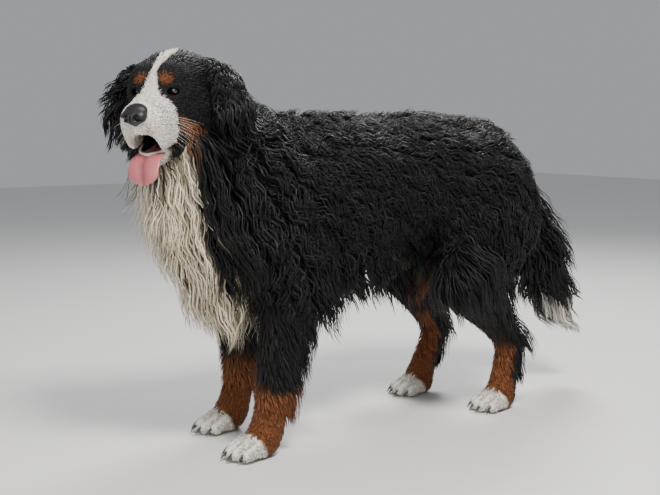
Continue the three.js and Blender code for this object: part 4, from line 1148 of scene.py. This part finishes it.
def loft(path, halves, thick, ring, groove=0.0, side=(1.0, 0.0, 0.0)):
    """A closed tube along a path, wide along side, with a groove down its upper face."""
    tangent = unit(np.gradient(path, axis=0))
    across = unit(np.array(side) - tangent * (tangent @ np.array(side))[:, None])
    up = np.cross(across, tangent) * -1
    up = np.where(up[:, 2:] < 0, -up, up) if groove == 0 else up
    angle = np.linspace(0, 2 * math.pi, ring, endpoint=False)
    wide, tall = np.cos(angle), np.sin(angle)
    dip = groove * np.exp(-((wide / 0.28) ** 2)) * (tall > 0)
    points = (
        path[:, None]
        + across[:, None] * (wide * halves[:, None])[..., None]
        + up[:, None] * ((tall * (1 - dip)) * thick[:, None])[..., None]
    ).reshape(-1, 3)
    count = len(path)
    i, j = np.meshgrid(np.arange(count - 1), np.arange(ring), indexing="ij")
    a, b = i * ring + j, i * ring + (j + 1) % ring
    quads = np.stack([a, b, b + ring, a + ring], -1).reshape(-1, 4)
    return points, quads, (wide, tall)


path = curve_through(np.array(TONGUE_PATH, float), TONGUE_STEPS)
spots = np.linspace(0, 1, TONGUE_STEPS)
marks = np.linspace(0, 0.93, 5)
round_end = np.sqrt(np.clip(1 - (np.maximum(spots - 0.8, 0) / 0.2005) ** 2, 0, 1))
thin_end = np.sqrt(np.clip((1.03 - spots) / 0.1, 0, 1))
halves = np.interp(spots, marks, TONGUE_HALVES) * round_end
thick = np.interp(spots, marks, TONGUE_THICK) * thin_end
points, quads, (wide, tall) = loft(path, halves, thick, TONGUE_RING, 0.5)
tongue = mesh_object("tongue_flesh", from_head(points), quads)
# Painted shade: the tongue is darker down the groove in its middle and towards its root inside the mouth.
painted_shade = np.tile(np.exp(-((wide / 0.2) ** 2)) * (tall > 0), TONGUE_STEPS)[:, None]
edge = np.tile(np.abs(wide) ** 4, TONGUE_STEPS)[:, None]
colours = np.array([0.46, 0.125, 0.14]) * (1 - 0.45 * painted_shade) * (1 + 0.12 * edge)
paint(tongue, "Coat", colours * (0.75 + 0.25 * np.repeat(spots, TONGUE_RING))[:, None])
own(tongue, tongue_material(), "tongue", "tongue")


# Eyes
IRIS_BANDS = (
    (0.0, (0.002, 0.002, 0.002)),
    (0.3, (0.003, 0.002, 0.002)),
    (0.36, (0.022, 0.008, 0.004)),
    (0.62, (0.014, 0.005, 0.003)),
    (0.72, (0.006, 0.004, 0.003)),
    (0.85, (0.12, 0.09, 0.08)),
)


def eye_material(name, centre, gaze):
    wet = Surface(name, 0.06, Coat_Weight=1.0, Coat_Roughness=0.02)
    place = wet.add("TexCoord")
    gap = wet.add("VectorMath", operation="DISTANCE")
    gap.inputs[1].default_value = (centre + gaze * EYE_RADIUS + SHIFT) * MM
    wet.link(place, "Object", gap, 0)
    bands = wet.add("ValToRGB")
    for at, _ in IRIS_BANDS[1:-1]:
        bands.color_ramp.elements.new(at)
    for element, (at, colour) in zip(bands.color_ramp.elements, IRIS_BANDS):
        element.position = at
        element.color = (*colour, 1)
    reach = wet.add("MapRange", From_Max=0.0135)
    wet.link(gap, "Value", reach, "Value")
    wet.link(reach, "Result", bands, "Fac")
    fibres = wet.textured(place, "Object", "TexNoise", Scale=700.0)
    wet.tint(bands, fibres, "Fac", 0.6, 1.5)
    return wet.material


def sphere(centre, radius, rows=28, columns=40):
    lat, lon = np.linspace(0, math.pi, rows + 1)[1:-1], np.linspace(0, 2 * math.pi, columns, endpoint=False)
    out, up = np.sin(lat)[:, None], np.cos(lat)[:, None]
    ring = np.stack([out * np.cos(lon), out * np.sin(lon), up + 0 * lon], -1)
    points = np.concatenate([ring.reshape(-1, 3), [[0, 0, 1], [0, 0, -1]]]) * radius + centre
    i, j = np.meshgrid(np.arange(rows - 2), np.arange(columns), indexing="ij")
    a, b = i * columns + j, i * columns + (j + 1) % columns
    quads = np.stack([a, a + columns, b + columns, b], -1).reshape(-1, 4)
    top, base = len(points) - 2, (rows - 2) * columns
    j = np.arange(columns)
    after = (j + 1) % columns
    upper = np.stack([j, after, 0 * j + top], 1)
    lower = np.stack([base + after, base + j, 0 * j + top + 1], 1)
    return points, np.concatenate([quads[:, [0, 1, 2]], quads[:, [0, 2, 3]], upper, lower])


for (word, _), eye in zip(SIDES, EYES):
    centre = from_head(eye)
    gaze = HEAD_TURN @ unit([eye[0] * 0.012, -1, 0.02])
    ball_mesh = mesh_object(f"eyeball_{word}", *sphere(centre, EYE_RADIUS))
    own(ball_mesh, eye_material(f"eye_{word}", centre, gaze), "eye", f"eye_{word}")

# Claws
claws, claw_faces, start = [], [], 0
t = np.linspace(0, 1, 8)
for s in (1, -1):
    for x, y, lift in ((s * FORE_X, FORE_LEGS[s], PAW_LIFT), (s * HIND_X, HIND_LEGS[s][2], PAW_LIFT - 1)):
        for out, front in toes(y):
            root = np.array([x + out * 1.1, front - 16, lift - 11])
            tip = np.array([x + out * 1.12, front - 35, lift - 24])
            path = root + (tip - root) * t[:, None] + np.array([0, 0, 3.5]) * (4 * t * (1 - t))[:, None]
            points, quads, _ = loft(path, 4.2 * (1 - t * 0.86), 4.8 * (1 - t * 0.88), 12)
            claws.append(points)
            claw_faces.append(quads + start)
            start += len(points)
horn = Surface("claw_horn", 0.35, Coat_Weight=0.2)
grain = horn.textured(horn.add("TexCoord"), "Object", "TexNoise", Scale=600.0, Detail=3.0)
horn.bump(grain, "Fac", 0.2, 0.0004)
horn.two_tones(grain, (0.02, 0.017, 0.015), (0.07, 0.06, 0.05))
own(mesh_object("claws", np.concatenate(claws), np.concatenate(claw_faces)), horn.material, "paw_fur")

# Floor and light
FLOOR_HALF, FLOOR_Z = 9000, -0.5
corners = [(x * FLOOR_HALF, y * FLOOR_HALF, FLOOR_Z) for x, y in ((-1, -1), (1, -1), (1, 1), (-1, 1))]
floor = mesh_object("floor", np.array(corners), np.array([[0, 1, 2, 3]]))
pale = Surface("pale_floor", 0.7)
cloud = pale.textured(pale.add("TexCoord"), "Object", "TexNoise", Scale=30.0, Detail=3.0)
pale.bump(cloud, "Fac", 0.05, 0.001)
pale.two_tones(cloud, (0.70, 0.69, 0.67), (0.76, 0.75, 0.73))
floor.data.materials.append(pale.material)

world = bpy.data.worlds.new("studio")
world.use_nodes = True
background = world.node_tree.nodes["Background"]
background.inputs["Color"].default_value = (0.86, 0.9, 0.96, 1)
background.inputs["Strength"].default_value = 0.42
bpy.context.scene.world = world


def soft_light(name, place, aim, size, power, colour=(1, 1, 1)):
    data = bpy.data.lights.new(name, "AREA")
    data.size, data.energy, data.color = size, power, colour
    lamp = bpy.data.objects.new(name, data)
    lamp.location = Vector(place)
    lamp.rotation_euler = (Vector(aim) - lamp.location).to_track_quat("-Z", "Y").to_euler()
    bpy.context.scene.collection.objects.link(lamp)


soft_light("key", (1.9, -0.5, 2.9), (0, 0, 0.5), 0.8, 150, (1, 0.97, 0.93))
soft_light("fill", (1.6, -3.0, 1.3), (0, -0.2, 0.4), 2.0, 38)
soft_light("rim", (-1.4, 1.7, 2.6), (0, 0, 0.5), 1.0, 90)
